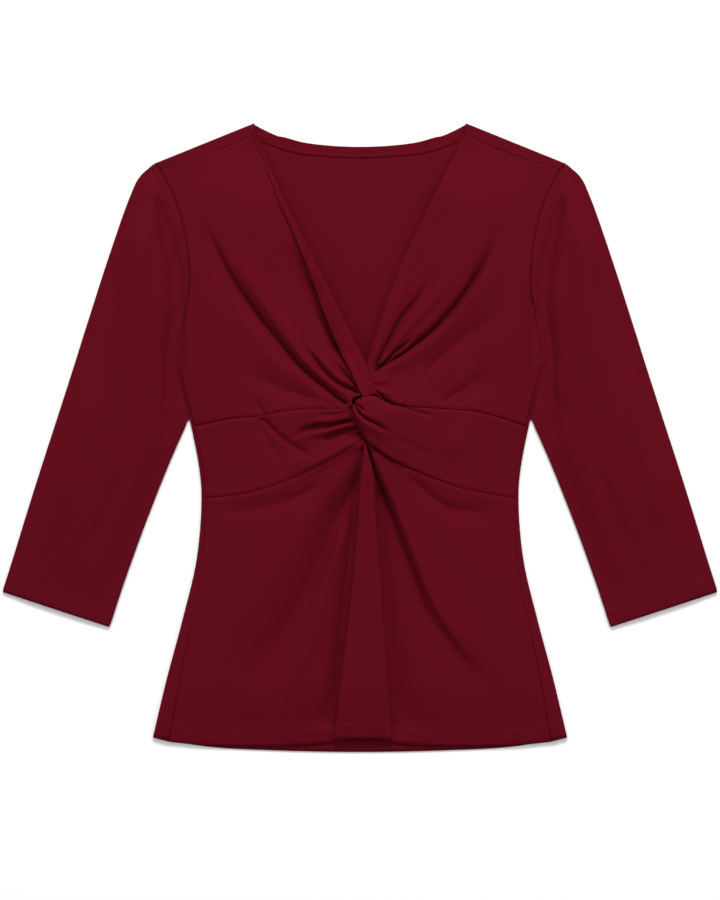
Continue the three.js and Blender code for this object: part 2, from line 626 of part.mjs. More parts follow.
// Front of the wearer's left side, passing under the strip at its end
function bustLeft() {
  const side = mirrored(sidePairs('seam', BUST_LINE, UNDERARM));
  const shoulder = mirrored(SHOULDER_SEAM.slice(0, -1));
  return bustWall({
    guide: line([LEFT_BUST_FOOT, ...LEFT_BUST_GUIDE, ...mirrored([ARMHOLE_SPLIT])]),
    seam: line([...KNOT_NOSE, ...LEFT_BUST_SEAM.slice(1)]),
    neck: line([...LEFT_NECK].reverse()),
    nearLow: line([KNOT_NOSE[0], LEFT_BUST_FOOT]),
    nearHigh: line([LEFT_BUST_FOOT, LEFT_NECK.at(-1)]),
    farLow: line(side, [side.at(-1), ...mirrored([ARMHOLE_FOOT])], mirrored(ARMHOLE_LOW)),
    farHigh: line(mirrored(ARMHOLE_TOP), [...shoulder, LEFT_NECK[0]]),
  });
}

// A bust piece as two fans that share the guide line
function bustWall({ guide, seam, neck, nearLow, nearHigh, farLow, farHigh }) {
  const along = gathered(BUST_ROWS);
  const [lowCuts, midCuts, highCuts] = ARMHOLE_CUTS;
  const low = fill(nearLow, farLow, seam, guide, cuts(farLow, [BUST_SIDE_CUTS, lowCuts, midCuts]), along);
  const high = fill(nearHigh, farHigh, guide, neck, cuts(farHigh, [highCuts, BUST_SHOULDER_CUTS]), along);
  return wall([lay(low, frontHeight), lay(high, frontHeight)], { plumb: true });
}

// Neckline strip of the right front, rolled over the edge with its wrong side out
function neckFacingRight() {
  const edge = line(ROLL_EDGE);
  const rows = even(STRIP_ROWS).map((share) => {
    const t = share * STRIP_END;
    const spot = edge.getPoint(t);
    const along = wayAlong(edge, t);
    const wide = read(STRIP, 'at', 'wide', t);
    const lift = read(STRIP, 'at', 'lift', t);
    return stripSection(wide, lift).map(([inward, rise]) => {
      const x = spot.x + along.y * inward;
      const y = spot.y - along.x * inward;
      return point(x, y, frontHeight(x, y) + rise);
    });
  });
  return wall([rows]);
}

// Section of the strip: distance in from the neckline edge, and height over the front
function stripSection(wide, lift) {
  const centre = ROLL_RADIUS + CLOTH / 2 + SEAM_GAP / 2;
  const section = [[ROLL_LIP, 0]];
  for (const turn of RISING_TURNS) {
    const angle = THREE.MathUtils.degToRad(turn);
    section.push([centre - ROLL_RADIUS * Math.cos(angle), ROLL_RADIUS * (1 + Math.sin(angle))]);
  }
  for (const share of STRIP_COLUMNS) {
    section.push([mix(centre, wide, share), 2 * ROLL_RADIUS + lift * share ** 2]);
  }
  return section;
}

// Midriff band of the wearer's right side
function midriffRight() {
  const top = line(RIGHT_BUST_SEAM);
  const bottom = line(RIGHT_WAIST_SEAM);
  const knot = line(KNOT_SIDE);
  const side = line(sidePairs('seam', BUST_LINE, WAIST_LINE));
  const grid = fill(top, bottom, knot, side, gathered(MIDRIFF_COLUMNS), even(MIDRIFF_ROWS));
  return wall([lay(grid, frontHeight)], { plumb: true });
}

// Midriff band of the wearer's left side; its head is the knot
function midriffLeft() {
  const top = line(KNOT_TOP, KNOT_NOSE, LEFT_BUST_SEAM);
  const bottom = line(LEFT_WAIST_SEAM);
  const knot = line(KNOT_CORNER, KNOT_SIDE);
  const side = line(mirrored(sidePairs('seam', BUST_LINE, WAIST_LINE)));
  const across = cuts(top, KNOT_CUTS);
  const columns = [...KNOT_COLUMNS, ...across.slice(FIRST_KNOT_CUT)];
  const grid = fill(top, bottom, knot, side, columns, KNOT_ROWS);
  return wall([lay(grid, knotHeight)], { plumb: true });
}

// Lower front: both halves and the box pleat between them, folded under at its edges
function skirtFront() {
  const ends = [pleatRow(0), pleatRow(1)];
  const grid = gathered(SKIRT_ROWS).map((t) => {
    const pleat = pleatRow(t);
    const right = halfRow(t, pleat[0].x, ends.map((row) => row[0].x), -1);
    const left = halfRow(t, pleat.at(-1).x, ends.map((row) => row.at(-1).x), 1);
    return [...right, ...pleat, ...left.reverse()];
  });
  return wall([grid]);
}

const waistTable = line([...RIGHT_WAIST_SEAM].reverse(), LEFT_WAIST_SEAM).getSpacedPoints(TABLE_STEPS);
const hemTable = line([...mirrored(FRONT_HEM), ...[...FRONT_HEM].reverse()]).getSpacedPoints(TABLE_STEPS);
const waistAt = (x) => read(waistTable, 'x', 'y', x);
const hemAt = (x) => read(hemTable, 'x', 'y', x);

// One row of one half of the lower front, from the side seam to the pleat
function halfRow(t, endX, [endHigh, endLow], sign) {
  const sideX = sign * sideAt('seam', mix(WAIST_LINE, HEM_LINE, t));
  return even(SKIRT_COLUMNS).slice(0, -1).map((share) => {
    const high = waistAt(mix(sign * sideAt('seam', WAIST_LINE), endHigh, share));
    const low = hemAt(mix(sign * sideAt('seam', HEM_LINE), endLow, share));
    const x = mix(sideX, endX, share);
    const y = mix(high, low, t);
    return point(x, y, frontHeight(x, y));
  });
}

// One row of the pleat: down under its right edge, over the top and under its left edge
function pleatRow(t) {
  const right = read(PLEAT, 'at', 'right', t);
  const left = read(PLEAT, 'at', 'left', t);
  const section = pleatFold(read(PLEAT, 'at', 'fold', t));
  const edges = [section.map(([reach, rise]) => [right + reach, rise])];
  edges.push(section.map(([reach, rise]) => [left - reach, rise]).reverse());
  const [from, to] = [edges[0].at(-1), edges[1][0]];
  const middle = PLEAT_MIDDLE.map((share) => [mix(from[0], to[0], share), from[1]]);
  return [...edges[0], ...middle, ...edges[1]].map(([x, rise]) => {
    const lift = (PLEAT_HEM_RISE * rise) / (4 * PLEAT_RADIUS);
    const y = mix(waistAt(x), hemAt(x) + lift, t);
    return point(x, y, frontHeight(x, y) + rise);
  });
}

// Section of one edge of the pleat: reach in from the edge, and height over the lower layer
function pleatFold(fold) {
  const centre = PLEAT_RADIUS + CLOTH / 2;
  const section = [];
  for (const turn of RISING_TURNS) {
    const angle = THREE.MathUtils.degToRad(turn);
    section.push([centre + fold + PLEAT_RADIUS * Math.cos(angle), PLEAT_RADIUS * (1 + Math.sin(angle))]);
  }
  for (const turn of RISING_TURNS) {
    const angle = THREE.MathUtils.degToRad(turn);
    section.push([centre - PLEAT_RADIUS * Math.cos(angle), PLEAT_RADIUS * (3 + Math.sin(angle))]);
  }
  return section;
}

// A sleeve as a flattened tube: upper and lower layers joined by a fold at each edge
function sleeveGrids() {
  const bodySide = sidePairs('edge', UNDERARM, SLEEVE_CROOK, -SLEEVE_GAP - EDGE_INSET);
  const cap = line(
    [SLEEVE_TIP, SEAM_TIP],
    [...ARMHOLE_TOP].reverse(),
    [...ARMHOLE_LOW].reverse(),
    [ARMHOLE_FOOT, bodySide[0]],
    bodySide,
  );
  const outer = withStart(beside(line(SLEEVE_OUTER), -EDGE_INSET), SLEEVE_TIP);
  const inner = withStart(beside(line(SLEEVE_INNER), EDGE_INSET), bodySide.at(-1));
  const ends = [outer, inner].map((path) => pairOf(path.getPoint(1)));
  const capCuts = [1, ...[...ARMHOLE_CUTS].reverse()];
  const across = cuts(cap, [...capCuts, SLEEVE_CLOSING]);
  const plan = fill(cap, line(ends), outer, inner, across, even(SLEEVE_ROWS));
  const upper = lay(plan, frontHeight);
  const lower = lay(plan, () => BACK_MID);
  const underarm = capCuts.reduce((sum, count) => sum + count);
  const closing = plan[0].slice(underarm).concat(columnOf(plan, -1).slice(1));
  return [upper, lower, turnEdge(columnOf(plan, 0), frontHeight, 1), turnEdge(closing, frontHeight, -1)];
}

// A path that begins at another point
function withStart(path, start) {
  const rest = even(FOLD_STEPS).slice(1).map((t) => pairOf(path.getPoint(t)));
  return line([start, ...rest]);
}

// Knit colour, one material for each piece
const KNIT_COLOUR = 0x640c1c;
const KNIT_ROUGHNESS = 0.85;

function piece(name, geometry) {
  geometry.computeVertexNormals();
  const material = new THREE.MeshStandardMaterial({
    color: KNIT_COLOUR, roughness: KNIT_ROUGHNESS, metalness: 0,
  });
  const mesh = new THREE.Mesh(geometry, material);
  mesh.name = name;
  return mesh;
}

const top = new THREE.Group();
top.add(piece('back_panel', backPanel()));
top.add(piece('back_neck_facing', backNeckFacing()));
top.add(piece('bust_right', bustRight()));
top.add(piece('bust_left', bustLeft()));
top.add(piece('neck_facing_right', neckFacingRight()));
top.add(piece('midriff_right', midriffRight()));
top.add(piece('midriff_left', midriffLeft()));
top.add(piece('skirt_front', skirtFront()));
top.add(piece('sleeve_right', wall(sleeveGrids())));
top.add(piece('sleeve_left', wall(sleeveGrids().map(flip))));

export default top;
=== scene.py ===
import math

import bmesh
import bpy
import numpy as np
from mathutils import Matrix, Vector
from mathutils.bvhtree import BVHTree
from mathutils.kdtree import KDTree


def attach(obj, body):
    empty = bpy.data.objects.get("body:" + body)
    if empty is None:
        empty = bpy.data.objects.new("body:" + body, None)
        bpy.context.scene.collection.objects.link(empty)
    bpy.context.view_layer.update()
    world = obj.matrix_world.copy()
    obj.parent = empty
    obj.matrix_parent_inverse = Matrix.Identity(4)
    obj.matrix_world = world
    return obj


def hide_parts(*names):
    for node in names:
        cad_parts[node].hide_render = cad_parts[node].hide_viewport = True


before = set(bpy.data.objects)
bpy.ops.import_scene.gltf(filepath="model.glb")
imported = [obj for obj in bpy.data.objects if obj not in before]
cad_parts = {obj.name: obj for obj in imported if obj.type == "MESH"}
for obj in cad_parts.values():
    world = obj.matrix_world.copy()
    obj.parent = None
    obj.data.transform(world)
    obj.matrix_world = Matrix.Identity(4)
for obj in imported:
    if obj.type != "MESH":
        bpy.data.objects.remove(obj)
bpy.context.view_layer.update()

MM = 0.001

# Cloth: the shell is a little thinner than the solid that it stands for
CLOTH = 0.9
BACK_MID = 0.6
FACING_CLOTH = 0.55
FACING_GAP = 0.05
FRONT_MID = 3.0
FRONT_LOW = 2.0
LOW_SOFTNESS = 0.4
EDGE_INSET = 1.5
SEAM_GAP = 0.1
SIDE_GROOVE = 0.04
SIDE_LAP = 0.3
WELD = 0.02

# Loft of the front over the back, and the swell of cloth at the knot
LOFT = 6.4
LOFT_TOP = 300
LOFT_HEM = -312
LOFT_RUN = 70
LOFT_SQUARENESS = 6
KNOT = (6, 22)
KNOT_SWELL = 8.4
KNOT_SPREAD = 66
KNOT_LIFT = 8
KNOT_ROLL = 7
KNOT_TUCK = 2.5
KNOT_GROOVE = 2.2
KNOT_REACH = 58

# Slight waves that cloth laid by hand keeps: height, runs along X and Y, and start
WAVES = [(0.3, 31, 57, 0.6), (0.24, -71, 43, 2.1), (0.16, 17, -29, 1.2), (0.1, 11, 13, 0)]
WAVES_AT_EDGE = 0.35

# Rise of the back inside the neck, where it fades out with the run of each fade, and its waves
NECK_RISE = 0.55
NECK_RISE_SIDE = (150, 60)
NECK_RISE_LOW = (60, 40)
NECK_RISE_HIGH = (305, 25)
NECK_WAVE = (23, 61, 0.4)
NECK_CROSS_WAVE = (37, 53)

# Seams: groove, its reach, swell of the allowance beside it, where that is and how wide
SEAM_DEPTH = 0.9
SEAM_REACH = 1.2
SEAM_SWELL = 0.35
ALLOWANCE_AT = 4
ALLOWANCE_REACH = 3

# Bands of two layers: height of the step, its run, depth and width of the rounding at the edge
BAND_THICK = 0.45
BAND_STEP = 1.2
BAND_ROUND = 1.0
BAND_TURN = 1.6

# Body outline: height, outer edge and side seam, from underarm to hem
UNDERARM = 78
BUST_LINE = 12
WAIST_LINE = -60
HEM_LINE = -299.5
SIDE = [
    (UNDERARM, 184.7, 183.5),
    (20, 170.4, 167.9),
    (-31, 160.5, 157.2),
    (-61, 158.5, 155.3),
    (-121, 163.4, 157.4),
    (-181, 177.4, 168),
    (-241, 193.4, 180.5),
    (HEM_LINE, 207.3, 191),
]

# Shoulders, neck and hem of the back
SHOULDER_TIP = (-206.6, 274.7)
NECK_POINT = (-106, 315.4)
SEAM_TIP = (-199.5, 268.3)
SEAM_NECK = (-104.4, 304.6)
SHOULDER_SEAM = [SEAM_TIP, (-159.5, 281.8), (-129.5, 293), SEAM_NECK]
BACK_NECK = [(-95, 308.5), (-81, 302.5), (-57, 296.5), (-28, 293), (0, 292)]
BACK_HEM = [(-153.4, -308.4), (-84.5, -312.2), (0, -313.8)]
FACING_LOW = [(-97.5, 296.5), (-68, 286.5), (-30, 282), (0, 281)]
FACING_END = (-98.5, 301.5)

# Armhole from just over the underarm to the shoulder tip
ARMHOLE_FOOT = (-175.2, 125)
ARMHOLE_SPLIT = (-183.5, 234)
ARMHOLE_LOW = [ARMHOLE_FOOT, (-170.9, 155), (-172.7, 186.5), (-178, 216), ARMHOLE_SPLIT]
ARMHOLE_TOP = [ARMHOLE_SPLIT, (-189, 247.5), SEAM_TIP]

# Sleeve outline
SLEEVE_OUTER = [
    (-207.4, 275), (-217, 266.5), (-227, 248.5), (-247, 193.5), (-295, 43.5), (-324, -46.5),
    (-357.4, -153.6),
]
SLEEVE_TIP = (-206.1, 273.2)
SLEEVE_CROOK = 21.5
SLEEVE_INNER = [(-172.6, 18), (-188, -16.5), (-212, -76.5), (-234, -136.5), (-251.4, -188.4)]
SLEEVE_TUCK = 2.2
SLEEVE_INSET = 1.1
SLEEVE_LOFT = 8
SLEEVE_RISE = 30
CUFF_LOFT = 0.1
CUFF_RUN = 130
CUFF_BAND = 16
CUFF_THICK = 0.3
UNDERARM_EDGE = SIDE[0][1]
UNDER_BODY = 1.4
UNDER_REACH = 12

# Neckline: the right front's edge with its turned-out strip, and the left front's edge
ROLL_EDGE = [
    SEAM_NECK, (-94.2, 282.5), (-79, 244.5), (-60.7, 209.8), (-34.5, 156.7), (-9, 104.6), (6.3, 74),
    (13.5, 53.5), (17.5, 41),
]
ROLL_LIP = 3.2
NECK_LAP = 1.2
STRIP_END = 0.985
STRIP_DIP = 0.35
STRIP_DIP_FROM = 0.8
STRIP_EVENNESS = 0.5
STRIP = [
    # share of the edge, width, lift of the free edge, radius of the roll
    (0, 3.6, 0, 0.45),
    (0.2, 4.2, 0, 0.5),
    (0.28, 6, 0.5, 0.8),
    (0.5, 9.5, 1.5, 1.3),
    (0.66, 15.3, 3, 1.4),
    (0.82, 17.7, 3.2, 1.4),
    (0.93, 16.8, 2.2, 1.4),
    (1, 13, 0.8, 1.4),
]
LEFT_NECK = [(104.4, 304.6), (88.6, 273.5), (61.4, 216.5), (39.7, 170.5), (23.4, 126.5), (7.4, 77.5)]
LEFT_NECK_TURN = (8, 68)
NECK_TUCK = 14

# Seams over the front
KNOT_TOP = [(-5, 36.8), (1.7, 41.8), (8.3, 43.2), (16.5, 41.4)]
KNOT_NOSE = [(16.5, 41.4), (25, 36.8), (35, 32.8), (43, 31.3)]
KNOT_CORNER = [(-5, 36.8), (-7.6, 30.2)]
KNOT_SIDE = [(-7.6, 30.2), (-6.8, 22.5), (-4.4, 15.7), (-1.1, 9.1), (2, 4), (4, 0)]
LEFT_BUST_FOOT = (13, 42.8)
LEFT_BUST_NEAR = [LEFT_BUST_FOOT, (11, 52), (9.2, 60)]
RIGHT_BUST_SEAM = [
    (-7.6, 30.2), (-19, 29.5), (-48, 29.5), (-80, 26.5), (-98, 22.6), (-129, 19.5), (-165.3, BUST_LINE),
]
LEFT_BUST_SEAM = [(43, 31.3), (72, 29.9), (115.7, 26.5), (143, 19.5), (165.3, BUST_LINE)]
RIGHT_WAIST_SEAM = [(4, 0), (-9.5, -8.7), (-34.3, -23.9), (-75, -42.9), (-116, -55.1), (-155.3, WAIST_LINE)]
LEFT_WAIST_SEAM = [(4, 0), (28.8, -18.2), (51, -29.7), (100, -49.5), (121, -53.8), (155.3, WAIST_LINE)]

# Lines from the knot to the armhole that the cloth of each bust piece runs along
RIGHT_BUST_GUIDE = [(-28, 46.5), (-54, 67.5), (-78, 94), (-110, 134.5), (-144, 190.5)]
LEFT_BUST_GUIDE = [(39.5, 82), (65, 100.5), (90.5, 125), (112, 153.5), (136, 200.5)]

# Front hem and the box pleat
FRONT_HEM = [(191, -303.3), (160, -306.4), (108, -307.6), (60, -306.6), (26, -303.5)]
PLEAT = [
    # share of the way down, right edge, left edge, depth folded under, radius of the fold
    (0, 3.7, 5, 0.1, 0.15),
    (0.04, 3.3, 8.3, 0.2, 0.5),
    (0.077, 2.2, 12.2, 0.6, 0.8),
    (0.104, 1, 14, 1.2, 1),
    (0.18, -1, 15, 2, 1.1),
    (0.262, -2.7, 16.5, 2.6, 1.15),
    (0.33, -4.5, 18.2, 3, 1.2),
    (0.42, -6.6, 20.8, 3.5, 1.2),
    (0.527, -10, 22.4, 4, 1.2),
    (0.665, -15, 25, 5, 1.2),
    (0.8, -19.8, 28.9, 5.5, 1.2),
    (1, -26.5, 32, 6, 1.2),
]
PLEAT_HEM_RISE = 4
HEM_BAND = 15.5
HEM_STEP = 0.3
HEM_STEP_RUN = 2
HEM_ROUND = 0.9
HEM_TURN = 1.5

# Folds from the knot outwards: depth, reach left and right of the path, shares that fade, path
FOLDS = [
    # Bust right
    (-5.5, 8, 2.6, 0.02, 0.35, [
        (-10, 33.5), (-18.5, 38.5), (-28.5, 47), (-41, 57), (-53.5, 67), (-66, 79.5), (-77.5, 93.5),
        (-86, 104.5), (-95, 114.5), (-110, 134.5), (-128, 160.5), (-144, 190.5), (-162, 230.5),
    ]),
    (2.8, 4, 9, 0.1, 0.35, [
        (-8, 41), (-17, 46), (-30, 55.5), (-42, 66), (-54, 77.5), (-64, 89.5), (-74, 103.5),
        (-84, 117.5), (-102, 143.5), (-120, 171.5), (-138, 203.5),
    ]),
    (-5, 5, 1.8, 0.03, 0.45, [
        (-1, 45), (-7.5, 49.5), (-15, 52), (-22.5, 56), (-31, 63.5), (-38.5, 71), (-45, 79.5),
        (-53.5, 88.5), (-62, 98.5),
    ]),
    (1.8, 2.5, 4, 0.1, 0.4, [(-4, 50.5), (-13, 56.5), (-22, 61.5), (-30, 69), (-38, 78.5), (-46, 89.5)]),
    (-3, 2.5, 2, 0.1, 0.4, [(-1, 50), (-7.5, 57), (-13.5, 62), (-20, 69.5), (-27, 78.5)]),
    (-6, 8, 5, 0.2, 0.35, [
        (-9, 66.5), (-16, 82.5), (-26, 100.5), (-35, 116.5), (-44, 138.5), (-54, 160.5), (-63, 180.5),
        (-74, 202.5),
    ]),
    (-4.5, 6, 3.5, 0.2, 0.35, [(-50, 166), (-45, 150), (-38.5, 128), (-30.5, 108), (-24, 90.5), (-14, 72)]),
    (-2.2, 8, 7, 0.2, 0.4, [(-32, 36.5), (-56, 42.5), (-80, 50.5), (-100, 60.5), (-122, 78.5)]),
    (1.6, 9, 9, 0.2, 0.4, [(-40, 46.5), (-64, 62.5), (-90, 82.5), (-112, 108.5), (-132, 138.5)]),
    (-1.8, 3, 4, 0, 0.5, [(-97, 24.5), (-101, 32.5), (-106, 39.5)]),
    (-1.4, 4, 3, 0.1, 0.5, [(-22, 31.5), (-30, 34.5), (-38, 39.5)]),
    # Bust left
    (-7, 4.4, 1.8, 0.02, 0.45, [
        (13.5, 65), (25, 73.5), (39.5, 82), (53.5, 92), (65, 100.5), (79.5, 113.5), (90.5, 125),
        (102, 139), (112, 153.5), (124, 174.5), (136, 200.5), (148, 226.5),
    ]),
    (3, 3, 11, 0.08, 0.35, [
        (24, 66.5), (40, 76.5), (56, 86.5), (70, 96.5), (85, 109), (98, 122.5), (109, 136.5),
        (119, 151.5), (132, 176.5), (145, 202.5),
    ]),
    (-4, 1.6, 1.6, 0.05, 0.4, [(16.5, 69), (26.5, 78), (35, 86.5), (46.5, 95), (56, 104.5)]),
    (1.2, 2, 2, 0.1, 0.4, [(21, 71), (32, 79.5), (44, 88.5), (56, 98.5)]),
    (-4.5, 3, 3.5, 0.03, 0.5, [
        (15, 69), (22, 85), (30.5, 100.5), (42, 120.5), (56.5, 138), (68, 154.5), (80, 176.5),
    ]),
    (2.2, 5, 5, 0.15, 0.4, [(26, 81.5), (38, 98.5), (52, 115.5), (68, 133.5), (86, 156.5), (102, 182.5)]),
    (1.6, 4, 4, 0.1, 0.4, [(11, 72.5), (18, 93.5), (28, 118.5), (40, 142.5), (52, 168.5)]),
    (-0.6, 2.4, 2.4, 0.2, 0.8, [(13, 61.5), (18, 60), (22, 61.5)]),
    (-0.8, 5, 5, 0.3, 0.7, [(13, 54.5), (20, 52.5), (28, 53), (38, 56)]),
    (0.9, 2.6, 2.6, 0, 0.6, [(15, 57), (23, 57), (32, 59.5)]),
    (1.4, 2.2, 2.2, 0, 0.5, [(19, 47.5), (28, 44), (36, 42.5)]),
    (-3, 1.4, 1.4, 0, 0.3, [(16.5, 47), (21, 43.5), (25.5, 38.5), (31, 35), (37, 32.7)]),
    (-2.2, 6, 6, 0.2, 0.4, [(76.5, 32), (85, 38), (99.5, 46.5), (115, 56.5), (140, 72.5)]),
    (-2, 6, 6, 0.2, 0.4, [(61, 55.5), (70, 70.5), (89, 88.5), (116, 108.5), (148, 132.5)]),
    (-1.6, 5, 5, 0.2, 0.4, [(88.5, 29.5), (110, 42.5), (143, 61.5)]),
    # Midriff right
    (-5, 1.6, 4, 0.02, 0.4, [
        (-6, 17.5), (-13, 15.5), (-19, 14.5), (-30.5, 11), (-42, 10), (-55, 6.5), (-65, 1),
        (-69.5, -3.5),
    ]),
    (-3, 1.5, 1.5, 0.1, 0.4, [(-8, 18.5), (-26, 14.5), (-39, 13.5), (-52, 11), (-62, 6.5)]),
    (2.2, 2.5, 2.5, 0.05, 0.4, [(-4, 14), (-19, 11), (-33, 7), (-48, 3.5), (-62, -1.5)]),
    (-4, 5, 1.6, 0.02, 0.4, [(-3, 11), (-13, 9.5), (-24.5, 5), (-34.5, 0), (-42, -5)]),
    (-3, 5, 5, 0, 0.6, [(1, 4.5), (-8, 1.5), (-17, -2.5)]),
    (2.6, 6, 7, 0.1, 0.35, [(0, -2), (-10, -5.5), (-22, -12.5), (-38, -20.5), (-60, -27.5), (-84, -34.5)]),
    (-2, 7, 3, 0.05, 0.3, [(-101, 22), (-98.5, 11), (-94, -0.5), (-88, -12), (-82.5, -21), (-74, -29.5)]),
    (-2.8, 4, 2.5, 0.05, 0.25, [
        (-98.5, 21), (-88, 9.5), (-78, -0.5), (-69.5, -6.5), (-62, -11.5), (-53.5, -16.5),
        (-44, -20.5),
    ]),
    (-1.6, 3, 3, 0.1, 0.4, [(-10, 27), (-28, 23.5), (-48, 24.5)]),
    # Knot
    (-4.6, 2, 0.9, 0, 0.6, [
        (-5, 35.5), (-3.5, 29), (0.5, 23.5), (6, 19), (13, 15.5), (20.5, 11.5), (27, 7), (36, 1.5),
    ]),
    (2.2, 1.5, 5, 0, 0.4, [(-6.5, 32.5), (-4, 25.5), (0, 19), (6, 14.5), (14, 10), (24, 4.5), (36, -1.5)]),
    (-2.6, 1.3, 1.3, 0, 0.5, [(-4, 34.5), (-0.5, 32), (3, 28.5), (6, 24.5)]),
    (2.6, 1.4, 1.4, 0, 0.2, [(-9.5, 32), (-10, 36.5), (-8.5, 40), (-4, 42.5), (1.5, 43), (5, 43.5)]),
    (-5, 1.2, 1.2, 0, 0.1, [(-7, 33.5), (-7, 36.5), (-5.5, 39), (-2, 40.5), (2, 41)]),
    (-1.6, 2, 2, 0.1, 0.4, [(38, 30.5), (51.5, 28), (65, 24.5), (80, 21.5)]),
    (1.6, 9, 9, 0.3, 0.3, [(110, 24.5), (100, -1.5), (80, -17.5)]),
    (-0.8, 4, 4, 0.2, 0.4, [(28, 4.5), (52, -7.5), (86, -23.5)]),
]

# Folds of the lower front
SKIRT_FOLDS = [
    (-5.5, 2, 12, 0.02, 0.5, [
        (5.5, -5), (8.5, -12), (14, -31.5), (22.5, -52.5), (34, -82), (45, -113.5), (58.5, -151),
        (68, -176.5), (86, -201.5),
    ]),
    (-3, 11, 24, 0.4, 0.35, [
        (34, -82), (45, -113.5), (56, -148.5), (71, -181.5), (92, -211.5), (119, -243.5), (144, -271.5),
    ]),
    (3.2, 13, 3.5, 0.03, 0.35, [
        (12, -11.5), (20, -31.5), (30, -53.5), (41.5, -81.5), (53, -111.5), (67, -149.5), (83, -181.5),
        (110, -216.5), (145, -251.5),
    ]),
    (-5.5, 12.5, 4, 0.1, 0.1, [
        (16, -41.5), (18.5, -71.5), (22, -111.5), (26, -156.5), (30, -201.5), (34, -256.5), (37, -303),
    ]),
    (-6.5, 6, 9, 0.14, 0.05, [
        (2.6, -8), (-1.5, -36.5), (-4.5, -66.5), (-7.5, -101.5), (-11.5, -141.5), (-16, -186.5),
        (-22, -241.5), (-29, -293.5),
    ]),
    (-6.5, 9, 14, 0.22, 0.35, [
        (-2, -24), (-9, -50.5), (-22, -82), (-38.5, -121.5), (-54, -156.5), (-74, -196.5),
        (-98, -236.5), (-122, -271.5),
    ]),
    (2.4, 13, 13, 0.1, 0.4, [
        (-8, -19.5), (-30, -51.5), (-60, -91.5), (-92, -141.5), (-120, -191.5), (-138, -231.5),
    ]),
    (1.8, 6, 6, 0.2, 0.3, [(-13, -71.5), (-24, -111.5), (-37, -156.5), (-52, -206.5), (-66, -256.5)]),
    (-3, 6, 9, 0.2, 0.3, [(47.5, -33.5), (64.5, -52.5), (87.5, -69), (110, -73.5), (140, -69.5)]),
    (-2.6, 6, 8, 0.25, 0.3, [(-30, -39.5), (-62, -58.5), (-98, -69.5), (-124, -73.5), (-148, -68.5)]),
]

# Folds of one sleeve; the other has them mirrored
SLEEVE_FOLDS = [
    (-6.5, 7, 7, 0.2, 0.4, [(-204, 248.5), (-198, 223.5), (-190, 183.5), (-184, 148.5), (-180, 118.5)]),
    (-8.5, 3.5, 12, 0.3, 0.3, [(-184, 168), (-179, 128), (-182, 84), (-184, 48), (-190, 18), (-198, -12)]),
    (3.4, 11, 12, 0.2, 0.4, [(-217, 238.5), (-221, 188.5), (-227, 128.5), (-237, 58.5), (-249, -1.5)]),
    (-2.8, 9, 9, 0.3, 0.3, [(-234, 198.5), (-244, 138.5), (-256, 78.5), (-266, 18.5)]),
    (2, 12, 12, 0.3, 0.3, [(-258, 100), (-274, 40), (-292, -30), (-308, -100)]),
    (-2.4, 8, 8, 0.3, 0.3, [(-236, -20), (-252, -70), (-270, -125)]),
]

# Share of a trough that is a sharp crease, how much is lost by the far end, and how tight it is
CREASE = 0.42
CREASE_FADE = 0.8
CREASE_PINCH = 1.5

# Shares of a fold's reach at its start and end, and how many reaches away it is still felt
FAN = (0.6, 1.5)
FOLD_REACHES = 3

# How much deeper than in the tables the shells carry the folds
RELIEF = 1.3

# Sampling of lines: points of a stretch, steps of a fold, then spacings in millimetres
PATH_POINTS = 14
FOLD_STEPS = 22
RESAMPLED = 24
SEAM_STEP = 0.8
CHAIN_STEP = 3
TABLE_STEP = 6
BESIDE_STEP = 8
SLOPE_REACH = 0.004

# Sampling of shells: spacings in millimetres, then rows and columns
FINE_STEP = 2.0
BUST_STEP = 2.6
SLEEVE_STEP = 2.6
BACK_STEP = 4.0
EDGE_TURNS = np.radians(np.linspace(90, -90, 9))
ROLL_TURNS = np.radians(np.linspace(-90, 90, 9))
PLEAT_TURNS = np.radians(np.linspace(-90, 90, 7))
RETURN_PARTS = 5
FACING_ROWS = 9
STRIP_ROWS = 220
STRIP_STEPS = np.linspace(0, 1, 9)[1:]
BUST_ROWS = np.linspace(0, 1, 150) ** 1.2
MIDRIFF_COLUMNS = np.linspace(0, 1, 110) ** 1.25
MIDRIFF_ROWS = np.linspace(0, 1, 64)
KNOT_COLUMNS = np.linspace(0, 1, 150) ** 1.25
KNOT_ROWS = np.linspace(0, 1, 90) ** 1.1
SKIRT_ROWS = np.linspace(0, 1, 140) ** 1.1
SKIRT_COLUMNS = np.linspace(0, 1, 84)[:-1]
PLEAT_PARTS = 12

# Stitches: pitch, length, width and how far their middle stands over the cloth
STITCH_PITCH = 2.4
STITCH_LONG = 1.1
STITCH_WIDE = 0.5
STITCH_RISE = 0.08
STITCH_SIDES = 6
STITCH_SHAPE = [(-1, 0.45), (-0.7, 0.9), (0.7, 0.9), (1, 0.45)]
STEEPEST_STITCH = 0.5
OVER_ALL = 60

# Rows of stitches: heights over hem and cuff, how far they stay in, shares of a line, and lines
HEM_ROWS = (15.5, 19.5)
CUFF_ROWS = (14.5, 18.5)
CUFF_ROW_INSET = (6, 2)
PLEAT_ROW_INSET = 1
RIGHT_HEM_SHARES = (0.01, 0.995)
LEFT_HEM_SHARES = (0.01, 0.97)
SHORT_ROW_SHARES = (0.02, 0.98)
FACING_STITCH = [(-94.5, 298.8), (-70, 289.3), (-31, 284.6), (0, 283.6)]
STRIP_STITCH = [
    (-106.6, 304.5), (-101, 288.5), (-91.3, 266.5), (-83.6, 251.9), (-68.3, 218.5), (-54, 175),
    (-46.7, 157.7), (-34.5, 131.2), (-26.3, 110.7), (-16.1, 90.3), (-4.9, 66.9), (4.3, 46.5),
]


# Curves

